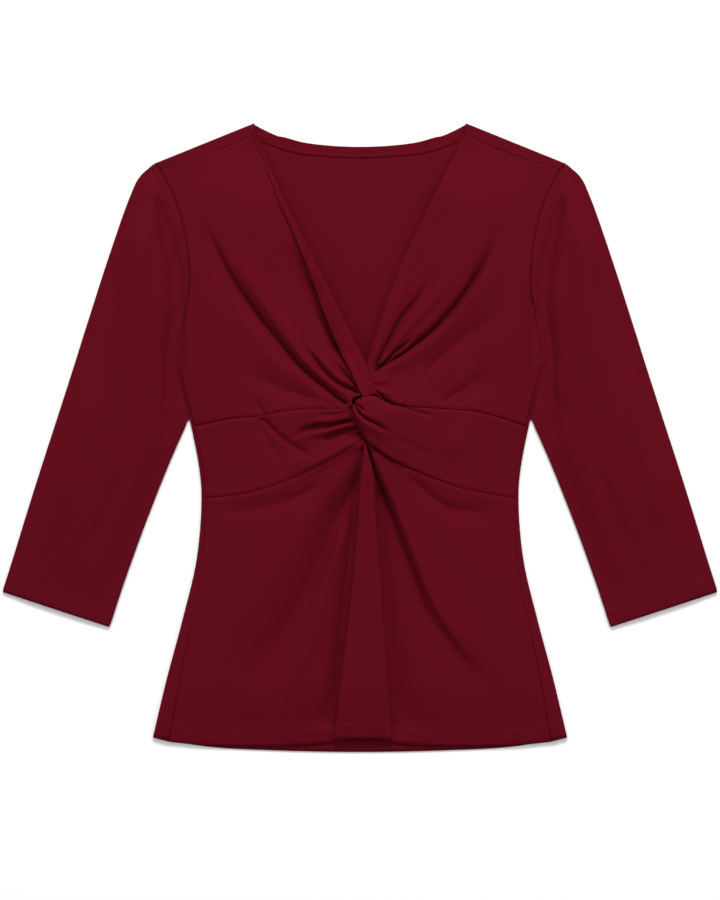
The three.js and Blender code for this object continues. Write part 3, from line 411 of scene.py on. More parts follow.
def smooth_chain(points):
    """A smooth chain through the points, a centripetal spline as in the solids."""
    points = np.array(points, float)
    steps = np.linspace(0, 1, PATH_POINTS + 1)[:, None]
    if len(points) == 2:
        return points[0] + (points[1] - points[0]) * steps
    full = np.vstack([2 * points[0] - points[1], points, 2 * points[-1] - points[-2]])
    t = steps[:-1]
    chain = []
    for k in range(1, len(full) - 2):
        p0, p1, p2, p3 = full[k - 1:k + 3]
        d0, d1, d2 = (math.sqrt(np.linalg.norm(b - a)) for a, b in ((p0, p1), (p1, p2), (p2, p3)))
        t1 = ((p1 - p0) / d0 - (p2 - p0) / (d0 + d1) + (p2 - p1) / d1) * d1
        t2 = ((p2 - p1) / d1 - (p3 - p1) / (d1 + d2) + (p3 - p2) / d2) * d1
        square = 3 * (p2 - p1) - 2 * t1 - t2
        cube = 2 * (p1 - p2) + t1 + t2
        chain.append(p1 + t1 * t + square * t ** 2 + cube * t ** 3)
    return np.vstack([*chain, points[-1:]])


class Line:
    """A path of smooth stretches, read by the share of its length."""

    def __init__(self, *stretches):
        chains = [smooth_chain(stretch) for stretch in stretches]
        self.chain = np.vstack([chains[0]] + [chain[1:] for chain in chains[1:]])
        steps = np.linalg.norm(np.diff(self.chain, axis=0), axis=1)
        self.run = np.concatenate([[0], np.cumsum(steps)])
        ends = np.cumsum([len(chain) - 1 for chain in chains])
        self.corners = self.run[ends] / self.run[-1]
        self.length = self.run[-1]

    def at(self, share):
        place = np.asarray(share, float) * self.length
        return np.stack([np.interp(place, self.run, self.chain[:, k]) for k in (0, 1)], axis=-1)

    def along(self, share, reach=SLOPE_REACH):
        share = np.asarray(share, float)
        step = self.at(np.clip(share + reach, 0, 1)) - self.at(np.clip(share - reach, 0, 1))
        return step / np.linalg.norm(step, axis=-1, keepdims=True)

    def spaced(self, step):
        return self.at(np.linspace(0, 1, max(2, int(self.length / step)) + 1))

    def cuts(self, step):
        """Shares at about this spacing, with every corner among them."""
        bounds = np.concatenate([[0], self.corners])
        shares = [0.0]
        for low, high in zip(bounds[:-1], bounds[1:]):
            count = max(1, int(round((high - low) * self.length / step)))
            shares += list(low + (high - low) * np.arange(1, count + 1) / count)
        return np.array(shares)


def mirrored(points):
    return [(-x, y) for x, y in points]


def both_halves(half):
    """The right half of a symmetric line, carried on through its left half."""
    return list(half) + mirrored(half[:-1])[::-1]


SIDE_TABLES = {
    kind: Line([(row[column], row[0]) for row in SIDE]).spaced(TABLE_STEP)[::-1]
    for kind, column in (("edge", 1), ("seam", 2))
}


def side_at(kind, y):
    table = SIDE_TABLES[kind]
    return np.interp(y, table[:, 1], table[:, 0])


def side_points(kind, start, end, inset=0):
    ys = np.linspace(start, end, max(2, int(abs(end - start) / TABLE_STEP)))
    return [(-(side_at(kind, y) - inset), y) for y in ys]


def beside(line, distance):
    """A line to the right of another, or to its left where distance is negative."""
    shares = np.linspace(0, 1, max(4, int(line.length / BESIDE_STEP)))
    along = line.along(shares)
    return Line(line.at(shares) + np.stack([along[:, 1], -along[:, 0]], axis=-1) * distance)


# Heights

def smooth(value):
    value = np.clip(value, 0, 1)
    return value * value * (3 - 2 * value)


def nearest(chain, xy):
    """Distance, side and share of the nearest place on a chain, for many points."""
    start = chain[:-1]
    run = np.diff(chain, axis=0)
    reach = np.linalg.norm(run, axis=1)
    before = np.concatenate([[0], np.cumsum(reach)[:-1]])
    best = np.full(len(xy), np.inf)
    side = np.ones(len(xy))
    share = np.zeros(len(xy))
    for k in range(len(run)):
        away = xy - start[k]
        t = np.clip(away @ run[k] / reach[k] ** 2, 0, 1)
        off = away - t[:, None] * run[k]
        distance = np.hypot(off[:, 0], off[:, 1])
        closer = distance < best
        best = np.where(closer, distance, best)
        turn = run[k][0] * off[:, 1] - run[k][1] * off[:, 0]
        side = np.where(closer, np.where(turn >= 0, 1, -1), side)
        share = np.where(closer, (before[k] + reach[k] * t) / reach.sum(), share)
    return best, side, share


MIRRORED_FOLDS = [(*fold[:5], mirrored(fold[5])) for fold in SLEEVE_FOLDS]
ALL_FOLDS = FOLDS + SKIRT_FOLDS + SLEEVE_FOLDS + MIRRORED_FOLDS
FOLD_LINES = [(fold, Line(fold[5]).at(np.linspace(0, 1, FOLD_STEPS))) for fold in ALL_FOLDS]
KNOT_CHAIN = Line(KNOT_NOSE[::-1], KNOT_TOP[::-1], KNOT_CORNER, KNOT_SIDE).spaced(FINE_STEP)


def fold_height(fold, chain, xy):
    depth, left, right, start, end, _ = fold
    margin = FOLD_REACHES * FAN[1] * max(left, right)
    low, high = chain.min(axis=0) - margin, chain.max(axis=0) + margin
    inside = np.all((xy > low) & (xy < high), axis=1)
    height = np.zeros(len(xy))
    if not inside.any():
        return height
    distance, side, share = nearest(chain, xy[inside])
    reach = np.where(side > 0, left, right) * (FAN[0] + (FAN[1] - FAN[0]) * share)
    crease = CREASE * (1 - CREASE_FADE * share)
    fade = smooth(share / start) if start else 1.0
    fade = fade * (smooth((1 - share) / end) if end else 1.0)
    shape = np.exp(-((distance / reach) ** 2))
    if depth < 0:
        shape = (1 - crease) * shape + crease * np.exp(-CREASE_PINCH * distance / reach)
    height[inside] = RELIEF * depth * fade * shape
    return height


def unevenness(xy):
    x, y = xy[:, 0], xy[:, 1]
    return sum(height * np.sin(x / run_x + y / run_y + start) for height, run_x, run_y, start in WAVES)


def front_height(xy, lines=FOLD_LINES, lift=0):
    x, y = xy[:, 0], xy[:, 1]
    edge = side_at("edge", np.minimum(y, UNDERARM))
    beside_share = np.clip(1 - (np.abs(x) / edge) ** LOFT_SQUARENESS, 0, 1)
    above = np.clip((LOFT_TOP - y) / LOFT_RUN, 0, 1)
    below = np.clip((y - LOFT_HEM) / LOFT_RUN, 0, 1)
    loft = beside_share * smooth(above * below)
    z = FRONT_MID + lift + LOFT * loft + unevenness(xy) * (WAVES_AT_EDGE + loft)
    z = z + KNOT_SWELL * np.exp(-(np.hypot(x - KNOT[0], y - KNOT[1]) / KNOT_SPREAD) ** 2)
    for fold, chain in lines:
        z = z + fold_height(fold, chain, xy)
    over = z - FRONT_LOW
    return FRONT_LOW + (over + np.hypot(over, LOW_SOFTNESS)) / 2


def knot_height(xy):
    inside = nearest(KNOT_CHAIN, xy)[0]
    roll = np.sqrt(1 - (1 - np.clip(inside / KNOT_ROLL, 0, 1)) ** 2)
    reach = np.exp(-(np.hypot(xy[:, 0] - KNOT[0], xy[:, 1] - KNOT[1]) / KNOT_REACH) ** 2)
    return front_height(xy) + (KNOT_LIFT * roll - KNOT_TUCK * np.exp(-inside)) * reach


def under_knot(grid):
    """Cloth that meets the knot dives a little under its roll."""
    flat = grid.reshape(-1, 3)
    inside = nearest(KNOT_CHAIN, flat[:, :2])[0]
    flat[:, 2] -= KNOT_TUCK * np.exp(-((inside / KNOT_GROOVE) ** 2))
    flat[:, 2] = np.maximum(flat[:, 2], FRONT_LOW)
    return flat.reshape(grid.shape)


def lay(plan, height):
    """Gives a grid of plan points their heights."""
    rows, columns = plan.shape[:2]
    flat = plan.reshape(-1, 2)
    z = height(flat)
    return np.concatenate([flat, z[:, None]], axis=1).reshape(rows, columns, 3)


def press_seams(grid, lines, depth=SEAM_DEPTH, swell=SEAM_SWELL):
    """Sinks a grid into a groove along its seams, with a low swell beside it for the allowance."""
    tree_points = np.vstack([line.spaced(SEAM_STEP) for line in lines])
    tree = KDTree(len(tree_points))
    for k, (x, y) in enumerate(tree_points):
        tree.insert((x, y, 0), k)
    tree.balance()
    flat = grid.reshape(-1, 3)
    away = np.array([tree.find((x, y, 0))[2] for x, y, _ in flat])
    flat[:, 2] += swell * np.exp(-((away - ALLOWANCE_AT) / ALLOWANCE_REACH) ** 2)
    flat[:, 2] -= depth * np.exp(-(away / SEAM_REACH) ** 2)
    return flat.reshape(grid.shape)


def raise_band(grid, line, width, thick=BAND_THICK):
    """A band as thick as two layers along a free edge, rounded where the cloth turns under."""
    flat = grid.reshape(-1, 3)
    away = nearest(line.spaced(CHAIN_STEP), flat[:, :2])[0]
    raised = thick * smooth((width + BAND_STEP - away) / (2 * BAND_STEP))
    flat[:, 2] += raised - BAND_ROUND * np.exp(-(away / BAND_TURN) ** 2)
    return flat.reshape(grid.shape)


# Grids

def fill(near, far, first, last, across, along):
    """Rows of plan points between four lines that meet at their ends."""
    u = across[None, :, None]
    v = along[:, None, None]
    ends = [near.at(0), near.at(1), far.at(0), far.at(1)]
    plan = near.at(across)[None] * (1 - v) + far.at(across)[None] * v
    plan = plan + first.at(along)[:, None] * (1 - u) + last.at(along)[:, None] * u
    plan = plan - ends[0] * (1 - u) * (1 - v) - ends[1] * u * (1 - v)
    return plan - ends[2] * (1 - u) * v - ends[3] * u * v


def inset_rim(plan, gap):
    """Draws the plan's rim in by gap, so that two pieces don't touch at a seam."""
    moved = plan.copy()
    middle = plan.mean(axis=(0, 1))
    rows = [(0, 1), (-1, -2)]
    columns = [(np.s_[:, rim], np.s_[:, inner]) for rim, inner in rows]
    for rim, inner in rows + columns:
        line, other = plan[rim], plan[inner]
        along = np.gradient(line, axis=0)
        normal = np.stack([along[:, 1], -along[:, 0]], axis=-1)
        normal /= np.maximum(np.linalg.norm(normal, axis=1, keepdims=True), 1e-9)
        inward = np.sign(np.sum(normal * (other - line), axis=1))
        inward = np.where(inward == 0, np.sign(np.sum(normal * (middle - line), axis=1)), inward)
        moved[rim] += normal * inward[:, None] * gap
    return moved


def turn_edge(centres, top, hand):
    """Rows that turn round a folded edge, from the upper layer down to the lower one."""
    along = np.gradient(centres, axis=0)
    out = np.stack([along[:, 1], -along[:, 0]], axis=-1) * hand
    out /= np.linalg.norm(out, axis=1, keepdims=True)
    radius = (np.asarray(top) - BACK_MID) / 2
    reach = radius[:, None] * np.cos(EDGE_TURNS)
    z = BACK_MID + radius[:, None] * (1 + np.sin(EDGE_TURNS))
    return np.stack([
        centres[:, None, 0] + out[:, None, 0] * reach,
        centres[:, None, 1] + out[:, None, 1] * reach,
        z,
    ], axis=-1)


def flip(grid):
    return grid * np.array([-1, 1, 1])


# Objects

def new_object(name, bm, material):
    """A smooth object from a finished mesh."""
    bmesh.ops.recalc_face_normals(bm, faces=bm.faces)
    mesh = bpy.data.meshes.new(name)
    bm.to_mesh(mesh)
    bm.free()
    for polygon in mesh.polygons:
        polygon.use_smooth = True
    mesh.materials.append(material)
    piece = bpy.data.objects.new(name, mesh)
    bpy.context.collection.objects.link(piece)
    return piece


def make_cloth(name, node, grids, material, cloth=CLOTH):
    """One shell from grids in millimetres whose shared points coincide."""
    bm = bmesh.new()
    for grid in grids:
        rows = [[bm.verts.new(Vector(spot) * MM) for spot in row] for row in grid]
        for upper, lower in zip(rows[:-1], rows[1:]):
            for k in range(len(upper) - 1):
                bm.faces.new((upper[k], upper[k + 1], lower[k + 1], lower[k]))
    if len(grids) > 1:
        bmesh.ops.remove_doubles(bm, verts=bm.verts, dist=WELD * MM)
    piece = new_object(name, bm, material)
    thicken = piece.modifiers.new("thickness", "SOLIDIFY")
    thicken.thickness = cloth * MM
    thicken.offset = 0
    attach(piece, "root")
    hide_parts(node)
    return piece


# Pieces

def back_grids():
    drop = np.array([NECK_POINT[1] - SHOULDER_TIP[1], SHOULDER_TIP[0] - NECK_POINT[0]])
    drop = drop / np.linalg.norm(drop) * EDGE_INSET
    tip = tuple(np.array(SHOULDER_TIP) + drop)
    neck = tuple(np.array(NECK_POINT) + drop)
    neck_line = both_halves([neck] + BACK_NECK)
    top = Line([tip, neck], neck_line, mirrored([neck, tip]))
    side = side_points("edge", HEM_LINE, UNDERARM, EDGE_INSET)
    stretches = [side, [side[-1], ARMHOLE_FOOT], ARMHOLE_LOW, ARMHOLE_TOP, [SEAM_TIP, tip]]
    left = Line(*stretches)
    right = Line(*[mirrored(stretch) for stretch in stretches])
    bottom = Line(both_halves([side[0]] + BACK_HEM))
    across, along = top.cuts(BACK_STEP), left.cuts(BACK_STEP)
    plan = fill(bottom, top, left, right, across, along)
    floor = lay(plan, back_height)
    floor[:, [0, -1], 2] = BACK_MID
    floor[-1, :, 2] = BACK_MID
    rows = int(np.searchsorted(along, left.corners[0] - 1e-6)) + 1
    columns = int(np.searchsorted(across, top.corners[0] - 1e-6)) + 1
    seam = Line(side_points("seam", HEM_LINE, UNDERARM))
    sides = fold_over(floor[:rows, 0, :2], seam, along[:rows] / left.corners[0])
    sides[1][0, 1:, 1] = np.linspace(sides[1][0, 0, 1], FRONT_HEM[0][1], sides[1].shape[1])[1:]
    shoulders = fold_over(floor[-1, :columns, :2], Line(SHOULDER_SEAM), across[:columns] / top.corners[0])
    returns = [*sides, *shoulders]
    return [floor, *returns, *[flip(grid) for grid in returns]]


def back_height(xy):
    """The back lies on the surface and rises only slightly inside the neck."""
    x, y = xy[:, 0], xy[:, 1]
    across = smooth((NECK_RISE_SIDE[0] - np.abs(x)) / NECK_RISE_SIDE[1])
    up = smooth((y - NECK_RISE_LOW[0]) / NECK_RISE_LOW[1])
    down = smooth((NECK_RISE_HIGH[0] - y) / NECK_RISE_HIGH[1])
    run_x, run_y, start = NECK_WAVE
    cross_y, cross_x = NECK_CROSS_WAVE
    waves = 0.5 + 0.5 * np.sin(x / run_x + y / run_y + start) * np.cos(y / cross_y - x / cross_x)
    return BACK_MID + NECK_RISE * across * up * down * waves


def fold_over(centres, seam, shares):
    """The turned edge and the strip from it to the seam, where it is as high as the front."""
    turned = turn_edge(centres, np.full(len(centres), FRONT_MID), -1)
    along = seam.along(shares)
    target = seam.at(shares) + np.stack([along[:, 1], -along[:, 0]], axis=-1) * SIDE_LAP
    start = turned[:, 0, :2]
    steps = np.linspace(0, 1, RETURN_PARTS + 1)[None, :, None]
    plan = start[:, None] * (1 - steps) + target[:, None] * steps
    strip = lay(plan, front_height)
    strip[..., 2] = FRONT_MID * (1 - steps[..., 0]) + (strip[..., 2] - SIDE_GROOVE) * steps[..., 0]
    return [turned, strip]


def facing_grid():
    upper = Line(both_halves([FACING_END] + BACK_NECK[1:]))
    lower = Line(both_halves(FACING_LOW))
    left = Line([FACING_LOW[0], FACING_END])
    right = Line(mirrored([FACING_LOW[0], FACING_END]))
    plan = fill(lower, upper, left, right, lower.cuts(FINE_STEP), np.linspace(0, 1, FACING_ROWS))
    return lay(plan, lambda xy: back_height(xy) + (CLOTH + FACING_CLOTH) / 2 + FACING_GAP)


def strip_grid():
    """From under the bust's edge round the roll, then over the bust to the free edge."""
    edge = Line(ROLL_EDGE)
    shares = np.linspace(0, STRIP_END, STRIP_ROWS)
    along = edge.along(shares)
    inward = np.stack([along[:, 1], -along[:, 0]], axis=-1)
    table = np.array(STRIP)
    wide, lift, radius = (np.interp(shares, table[:, 0], table[:, k]) for k in (1, 2, 3))
    centre = radius + CLOTH / 2
    reach = [np.full_like(shares, ROLL_LIP)]
    rise = [np.zeros_like(shares)]
    for turn in ROLL_TURNS:
        reach.append(centre - radius * math.cos(turn))
        rise.append(radius * (1 + math.sin(turn)))
    for step in STRIP_STEPS:
        dip = STRIP_DIP * smooth((step - STRIP_DIP_FROM) / (1 - STRIP_DIP_FROM))
        reach.append(centre + (wide - centre) * step)
        rise.append(2 * radius + lift * step ** 2 - dip)
    reach, rise = np.stack(reach, axis=1), np.stack(rise, axis=1)
    plan = edge.at(shares)[:, None] + inward[:, None] * reach[..., None]
    rows, columns = plan.shape[:2]
    base = front_height(plan.reshape(-1, 2)).reshape(rows, columns)
    base = (1 - STRIP_EVENNESS) * base + STRIP_EVENNESS * base[:, 1:2]
    return np.concatenate([plan, (base + rise)[..., None]], axis=2)


def bust_plan(near_low, near_high, far_low, far_high, lines):
    """Plan points of a bust piece, between its seam, a guide in its middle and its neck."""
    seam, guide, neck = lines
    low = fill(near_low, far_low, seam, guide, far_low.cuts(BUST_STEP), BUST_ROWS)
    high = fill(near_high, far_high, guide, neck, far_high.cuts(BUST_STEP), BUST_ROWS)
    return inset_rim(np.concatenate([low, high[:, 1:]], axis=1), SEAM_GAP)


def bust_right_grid():
    neck = beside(Line(ROLL_EDGE[::-1]), -(ROLL_LIP - NECK_LAP))
    start, end = tuple(neck.at(0)), tuple(neck.at(1))
    middle = KNOT_TOP[0]
    guide = Line([middle] + RIGHT_BUST_GUIDE + [ARMHOLE_SPLIT])
    side = side_points("seam", BUST_LINE, UNDERARM)
    far_low = Line(side, [side[-1], ARMHOLE_FOOT], ARMHOLE_LOW)
    far_high = Line(ARMHOLE_TOP, SHOULDER_SEAM[:-1] + [end])
    seam = Line(RIGHT_BUST_SEAM)
    near_low = Line([RIGHT_BUST_SEAM[0], middle])
    near_high = Line([middle, KNOT_TOP[1], start])
    plan = bust_plan(near_low, near_high, far_low, far_high, [seam, guide, neck])
    grid = press_seams(lay(plan, front_height), [seam, Line(ARMHOLE_LOW, ARMHOLE_TOP)])
    return under_knot(press_seams(grid, [Line(side), Line(SHOULDER_SEAM)], SIDE_GROOVE, swell=0))


def bust_left_grid():
    neck = Line(LEFT_NECK[::-1])
    middle = LEFT_BUST_NEAR[-1]
    split = mirrored([ARMHOLE_SPLIT])[0]
    guide = Line([middle] + LEFT_BUST_GUIDE + [split])
    side = mirrored(side_points("seam", BUST_LINE, UNDERARM))
    far_low = Line(side, [side[-1], mirrored([ARMHOLE_FOOT])[0]], mirrored(ARMHOLE_LOW))
    far_high = Line(mirrored(ARMHOLE_TOP), mirrored(SHOULDER_SEAM[:-1]) + [LEFT_NECK[0]])
    seam = Line([LEFT_BUST_FOOT] + KNOT_NOSE + LEFT_BUST_SEAM[1:])
    near_low = Line(LEFT_BUST_NEAR)
    near_high = Line([middle, LEFT_NECK_TURN, LEFT_NECK[-1]])
    plan = bust_plan(near_low, near_high, far_low, far_high, [seam, guide, neck])
    armhole = Line(mirrored(ARMHOLE_LOW), mirrored(ARMHOLE_TOP))
    grid = press_seams(lay(plan, front_height), [seam, armhole])
    grid = under_knot(press_seams(grid, [Line(side), Line(mirrored(SHOULDER_SEAM))], SIDE_GROOVE, swell=0))
    return raise_band(grid, neck, NECK_TUCK)


def midriff_right_grid():
    top, bottom = Line(RIGHT_BUST_SEAM), Line(RIGHT_WAIST_SEAM)
    side = Line(side_points("seam", BUST_LINE, WAIST_LINE))
    plan = fill(top, bottom, Line(KNOT_SIDE), side, MIDRIFF_COLUMNS, MIDRIFF_ROWS)
    grid = press_seams(lay(inset_rim(plan, SEAM_GAP), front_height), [top, bottom])
    return under_knot(press_seams(grid, [side], SIDE_GROOVE, swell=0))


def midriff_left_grid():
    """The band of the left midriff, with the knot's roll as its head."""
    top = Line(KNOT_TOP, KNOT_NOSE, LEFT_BUST_SEAM)
    bottom = Line(LEFT_WAIST_SEAM)
    side = Line(mirrored(side_points("seam", BUST_LINE, WAIST_LINE)))
    plan = fill(top, bottom, Line(KNOT_CORNER, KNOT_SIDE), side, KNOT_COLUMNS, KNOT_ROWS)
    grid = press_seams(lay(inset_rim(plan, SEAM_GAP), knot_height), [Line(LEFT_BUST_SEAM), bottom])
    return press_seams(grid, [side], SIDE_GROOVE, swell=0)


def pleat_section(fold, radius):
    """Reach in from the pleat's edge and height over the lower layer."""
    centre = radius + CLOTH / 2
    lower = [(centre + fold + radius * math.cos(turn), radius * (1 + math.sin(turn))) for turn in PLEAT_TURNS]
    upper = [(centre - radius * math.cos(turn), radius * (3 + math.sin(turn))) for turn in PLEAT_TURNS]
    return lower + upper


def waist_at(x):
    table = Line(RIGHT_WAIST_SEAM[::-1], LEFT_WAIST_SEAM).spaced(CHAIN_STEP)
    return np.interp(x, table[:, 0], table[:, 1])


def hem_at(x):
    table = Line(FRONT_HEM, mirrored(FRONT_HEM)[::-1]).spaced(CHAIN_STEP)[::-1]
    return np.interp(x, table[:, 0], table[:, 1])


def pleat_row(t):
    """Places and rises of one row of the pleat, from its right fold to its left one."""
    table = np.array(PLEAT)
    right, left, fold, radius = (np.interp(t, table[:, 0], table[:, k]) for k in (1, 2, 3, 4))
    section = pleat_section(fold, radius)
    first = [(right + reach, rise) for reach, rise in section]
    last = [(left - reach, rise) for reach, rise in section][::-1]
    steps = np.linspace(0, 1, PLEAT_PARTS + 2)[1:-1]
    top = 4 * radius
    middle = [(first[-1][0] + (last[0][0] - first[-1][0]) * step, top) for step in steps]
    row = np.array(first + middle + last)
    return row[:, 0], row[:, 1], top


def skirt_row(t, ends):
    """Places and rises of one row of the lower front, from side seam to side seam."""
    places, rises, top = pleat_row(t)
    shares = SKIRT_COLUMNS
    side = side_at("seam", WAIST_LINE + (HEM_LINE - WAIST_LINE) * t)
    halves = []
    for sign, end in ((-1, 0), (1, -1)):
        x = sign * side * (1 - shares) + places[end] * shares
        high = waist_at(sign * side_at("seam", WAIST_LINE) * (1 - shares) + ends[0][end] * shares)
        low = hem_at(sign * side_at("seam", HEM_LINE) * (1 - shares) + ends[1][end] * shares)
        half = np.stack([x, high * (1 - t) + low * t, np.zeros(len(x))], axis=1)
        halves.append(half if sign < 0 else half[::-1])
    y = waist_at(places) * (1 - t) + (hem_at(places) + PLEAT_HEM_RISE * rises / top) * t
    return np.vstack([halves[0], np.stack([places, y, rises], axis=1), halves[1]])


def skirt_grid():
    """Both halves of the lower front and the box pleat between them, in one grid."""
    ends = [pleat_row(0)[0], pleat_row(1)[0]]
    grid = np.array([skirt_row(t, ends) for t in SKIRT_ROWS])
    plan, rise = grid[..., :2], grid[..., 2]
    upper = rise / rise.max(axis=1, keepdims=True)
    calm = [pair for pair in FOLD_LINES if pair[0] not in SKIRT_FOLDS]
    low = lay(plan, front_height)
    high = lay(plan, lambda xy: front_height(xy, calm))
    grid = low * (1 - upper[..., None]) + high * upper[..., None]
    grid[..., 2] += rise
    grid = press_seams(grid, [Line(RIGHT_WAIST_SEAM), Line(LEFT_WAIST_SEAM)])
    side = side_points("seam", WAIST_LINE, HEM_LINE)
    grid = under_knot(press_seams(grid, [Line(side), Line(mirrored(side))], SIDE_GROOVE, swell=0))
    above = grid[..., 1] - hem_at(grid[..., 0]) - PLEAT_HEM_RISE * upper
    grid[..., 2] += HEM_STEP * smooth((HEM_BAND - above) / HEM_STEP_RUN)
    grid[..., 2] -= HEM_ROUND * np.exp(-((above / HEM_TURN) ** 2))
    return grid


def resampled(line):
    return [tuple(spot) for spot in line.at(np.linspace(0, 1, RESAMPLED))]


def sleeve_lines():
    """Cap, outer fold, inner fold and cuff of the wearer's right sleeve."""
    body_side = side_points("edge", UNDERARM, SLEEVE_CROOK, SLEEVE_TUCK)
    shoulder, foot = [SLEEVE_TIP, SEAM_TIP], [ARMHOLE_FOOT, body_side[0]]
    cap = Line(shoulder, ARMHOLE_TOP[::-1], ARMHOLE_LOW[::-1], foot, body_side)
    outer = Line([SLEEVE_TIP] + resampled(beside(Line(SLEEVE_OUTER), -SLEEVE_INSET))[1:])
    free = resampled(beside(Line(SLEEVE_INNER), SLEEVE_INSET))
    inner = Line([body_side[-1], free[0]], free)
    return cap, outer, inner, Line([tuple(outer.at(1)), tuple(inner.at(1))])


def sleeve_grids():
    cap, outer, inner, cuff = sleeve_lines()
    across = cap.cuts(SLEEVE_STEP)
    plan = fill(cap, cuff, outer, inner, across, np.linspace(0, 1, int(outer.length / SLEEVE_STEP)))
    flat = plan.reshape(-1, 2)
    edge = Line(inner.spaced(TABLE_STEP)[::-1], cap.spaced(TABLE_STEP)[::-1], outer.spaced(TABLE_STEP))
    inside = nearest(edge.spaced(TABLE_STEP), flat)[0]
    above_cuff = nearest(cuff.spaced(TABLE_STEP), flat)[0]
    open_cuff = CUFF_LOFT + (1 - CUFF_LOFT) * smooth(above_cuff / CUFF_RUN)
    loft = SLEEVE_LOFT * open_cuff * smooth(inside / SLEEVE_RISE)
    upper = lay(plan, lambda xy: front_height(xy, lift=loft))
    upper = press_seams(upper, [Line(ARMHOLE_TOP[::-1], ARMHOLE_LOW[::-1])])
    body = Line([ARMHOLE_FOOT, (-UNDERARM_EDGE, UNDERARM)], side_points("edge", UNDERARM, SLEEVE_CROOK))
    away = nearest(body.spaced(CHAIN_STEP), flat)[0].reshape(plan.shape[:2])
    under = smooth(1 - away / UNDER_REACH)
    upper[..., 2] = upper[..., 2] * (1 - under) + UNDER_BODY * under
    upper = raise_band(upper, cuff, CUFF_BAND, thick=CUFF_THICK)
    lower = lay(plan, lambda xy: np.full(len(xy), BACK_MID))
    corner = int(np.searchsorted(across, cap.corners[3] - 1e-6))
    closing = np.concatenate([upper[0, corner:], upper[1:, -1]])
    edges = [turn_edge(upper[:, 0, :2], upper[:, 0, 2], 1), turn_edge(closing[:, :2], closing[:, 2], -1)]
    return [upper, lower, *edges]


# Stitches

def stitch_places(cloth, line, start, end):
    """Points on the cloth's upper face at each stitch of a row, with the row's way and the normal."""
    corners = [vertex.co for vertex in cloth.data.vertices]
    tree = BVHTree.FromPolygons(corners, [polygon.vertices for polygon in cloth.data.polygons])
    count = int(line.length * (end - start) / STITCH_PITCH)
    shares = start + (end - start) * (np.arange(count) + 0.5) / count
    places = []
    for (x, y), (along_x, along_y) in zip(line.at(shares), line.along(shares)):
        spot, normal, _, _ = tree.ray_cast(Vector((x, y, OVER_ALL)) * MM, Vector((0, 0, -1)))
        if spot is None:
            continue
        normal = normal if normal.z > 0 else -normal
        if normal.z < STEEPEST_STITCH:
            continue
        along = Vector((along_x, along_y, 0))
        along = (along - normal * along.dot(normal)).normalized()
        half = cloth.modifiers["thickness"].thickness / 2
        places.append((spot + normal * (half + STITCH_RISE * MM), along, normal))
    return places


def make_stitches(name, rows, material):
    """Rows of short raised stitches as one mesh; each row is a cloth, a line and its two ends."""
    bm = bmesh.new()
    for row in rows:
        for spot, along, normal in stitch_places(*row):
            across = normal.cross(along)
            rings = []
            for station, size in STITCH_SHAPE:
                centre = spot + along * (station * STITCH_LONG / 2 * MM)
                ring = []
                for turn in np.radians(np.arange(STITCH_SIDES) * 360 / STITCH_SIDES):
                    swing = across * math.cos(turn) + normal * math.sin(turn)
                    ring.append(bm.verts.new(centre + swing * (size * STITCH_WIDE / 2 * MM)))
                rings.append(ring)
            for first, second in zip(rings[:-1], rings[1:]):
                for k in range(STITCH_SIDES):
                    n = (k + 1) % STITCH_SIDES
                    bm.faces.new((first[k], first[n], second[n], second[k]))
            bm.faces.new(rings[0][::-1])
            bm.faces.new(rings[-1])
    piece = new_object(name, bm, material)
    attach(piece, "root")
    return piece


def cuff_row(rise):
    """A row that runs across the wearer's right cuff, above its edge."""
    outer, inner = np.array(SLEEVE_OUTER[-1]), np.array(SLEEVE_INNER[-1])
    along = (inner - outer) / np.linalg.norm(inner - outer)
    up = np.array([-along[1], along[0]]) * rise
    return [tuple(outer + up + along * CUFF_ROW_INSET[0]), tuple(inner + up - along * CUFF_ROW_INSET[1])]


# Materials

KNIT_COLOUR = (0.1075, 0.0042, 0.0103)
INSIDE_COLOUR = (0.1075, 0.0037, 0.0096)
# Thread: its own dark red, lightened by a painted sheen that stands for the light the stitches catch
THREAD_COLOUR_WITH_PAINTED_SHEEN = (0.175, 0.017, 0.031)
FLOOR_COLOUR = (0.93, 0.93, 0.93)
MOTTLE_SHADE = 0.86
KNIT_WAVES = [
    # direction, scale, distortion, scale of the distortion
    ("X", 180, 1.2, 3),
    ("Y", 230, 1.6, 1),
]


def new_material(name, roughness, specular):
    """A material made of nodes, and its shader."""
    material = bpy.data.materials.new(name)
    material.use_nodes = True
    shader = material.node_tree.nodes["Principled BSDF"]
    shader.inputs["Roughness"].default_value = roughness
    shader.inputs["Specular IOR Level"].default_value = specular
    return material, shader


def knit_material(name, colour):
    """Fine double knit: mottled dye, faint wales and courses, a soft nap."""
    material, shader = new_material(name, 0.82, 0.0)
    shader.inputs["Sheen Weight"].default_value = 0.03
    shader.inputs["Sheen Roughness"].default_value = 0.45
    shader.inputs["Sheen Tint"].default_value = (0.85, 0.12, 0.2, 1)
    nodes, links = material.node_tree.nodes, material.node_tree.links
    place = nodes.new("ShaderNodeTexCoord").outputs["Object"]
    links.new(mottled_dye(nodes, links, place, colour), shader.inputs["Base Color"])
    links.new(knit_relief(nodes, links, place), shader.inputs["Normal"])
    return material


def mottled_dye(nodes, links, place, colour):
    mottle = nodes.new("ShaderNodeTexNoise")
    mottle.inputs["Scale"].default_value = 650
    mottle.inputs["Detail"].default_value = 5
    links.new(place, mottle.inputs["Vector"])
    ramp = nodes.new("ShaderNodeValToRGB")
    dark, light = ramp.color_ramp.elements
    dark.position, light.position = 0.3, 0.7
    dark.color = (*[c * MOTTLE_SHADE for c in colour], 1)
    light.color = (*colour, 1)
    links.new(mottle.outputs["Fac"], ramp.inputs["Fac"])
    return ramp.outputs["Color"]


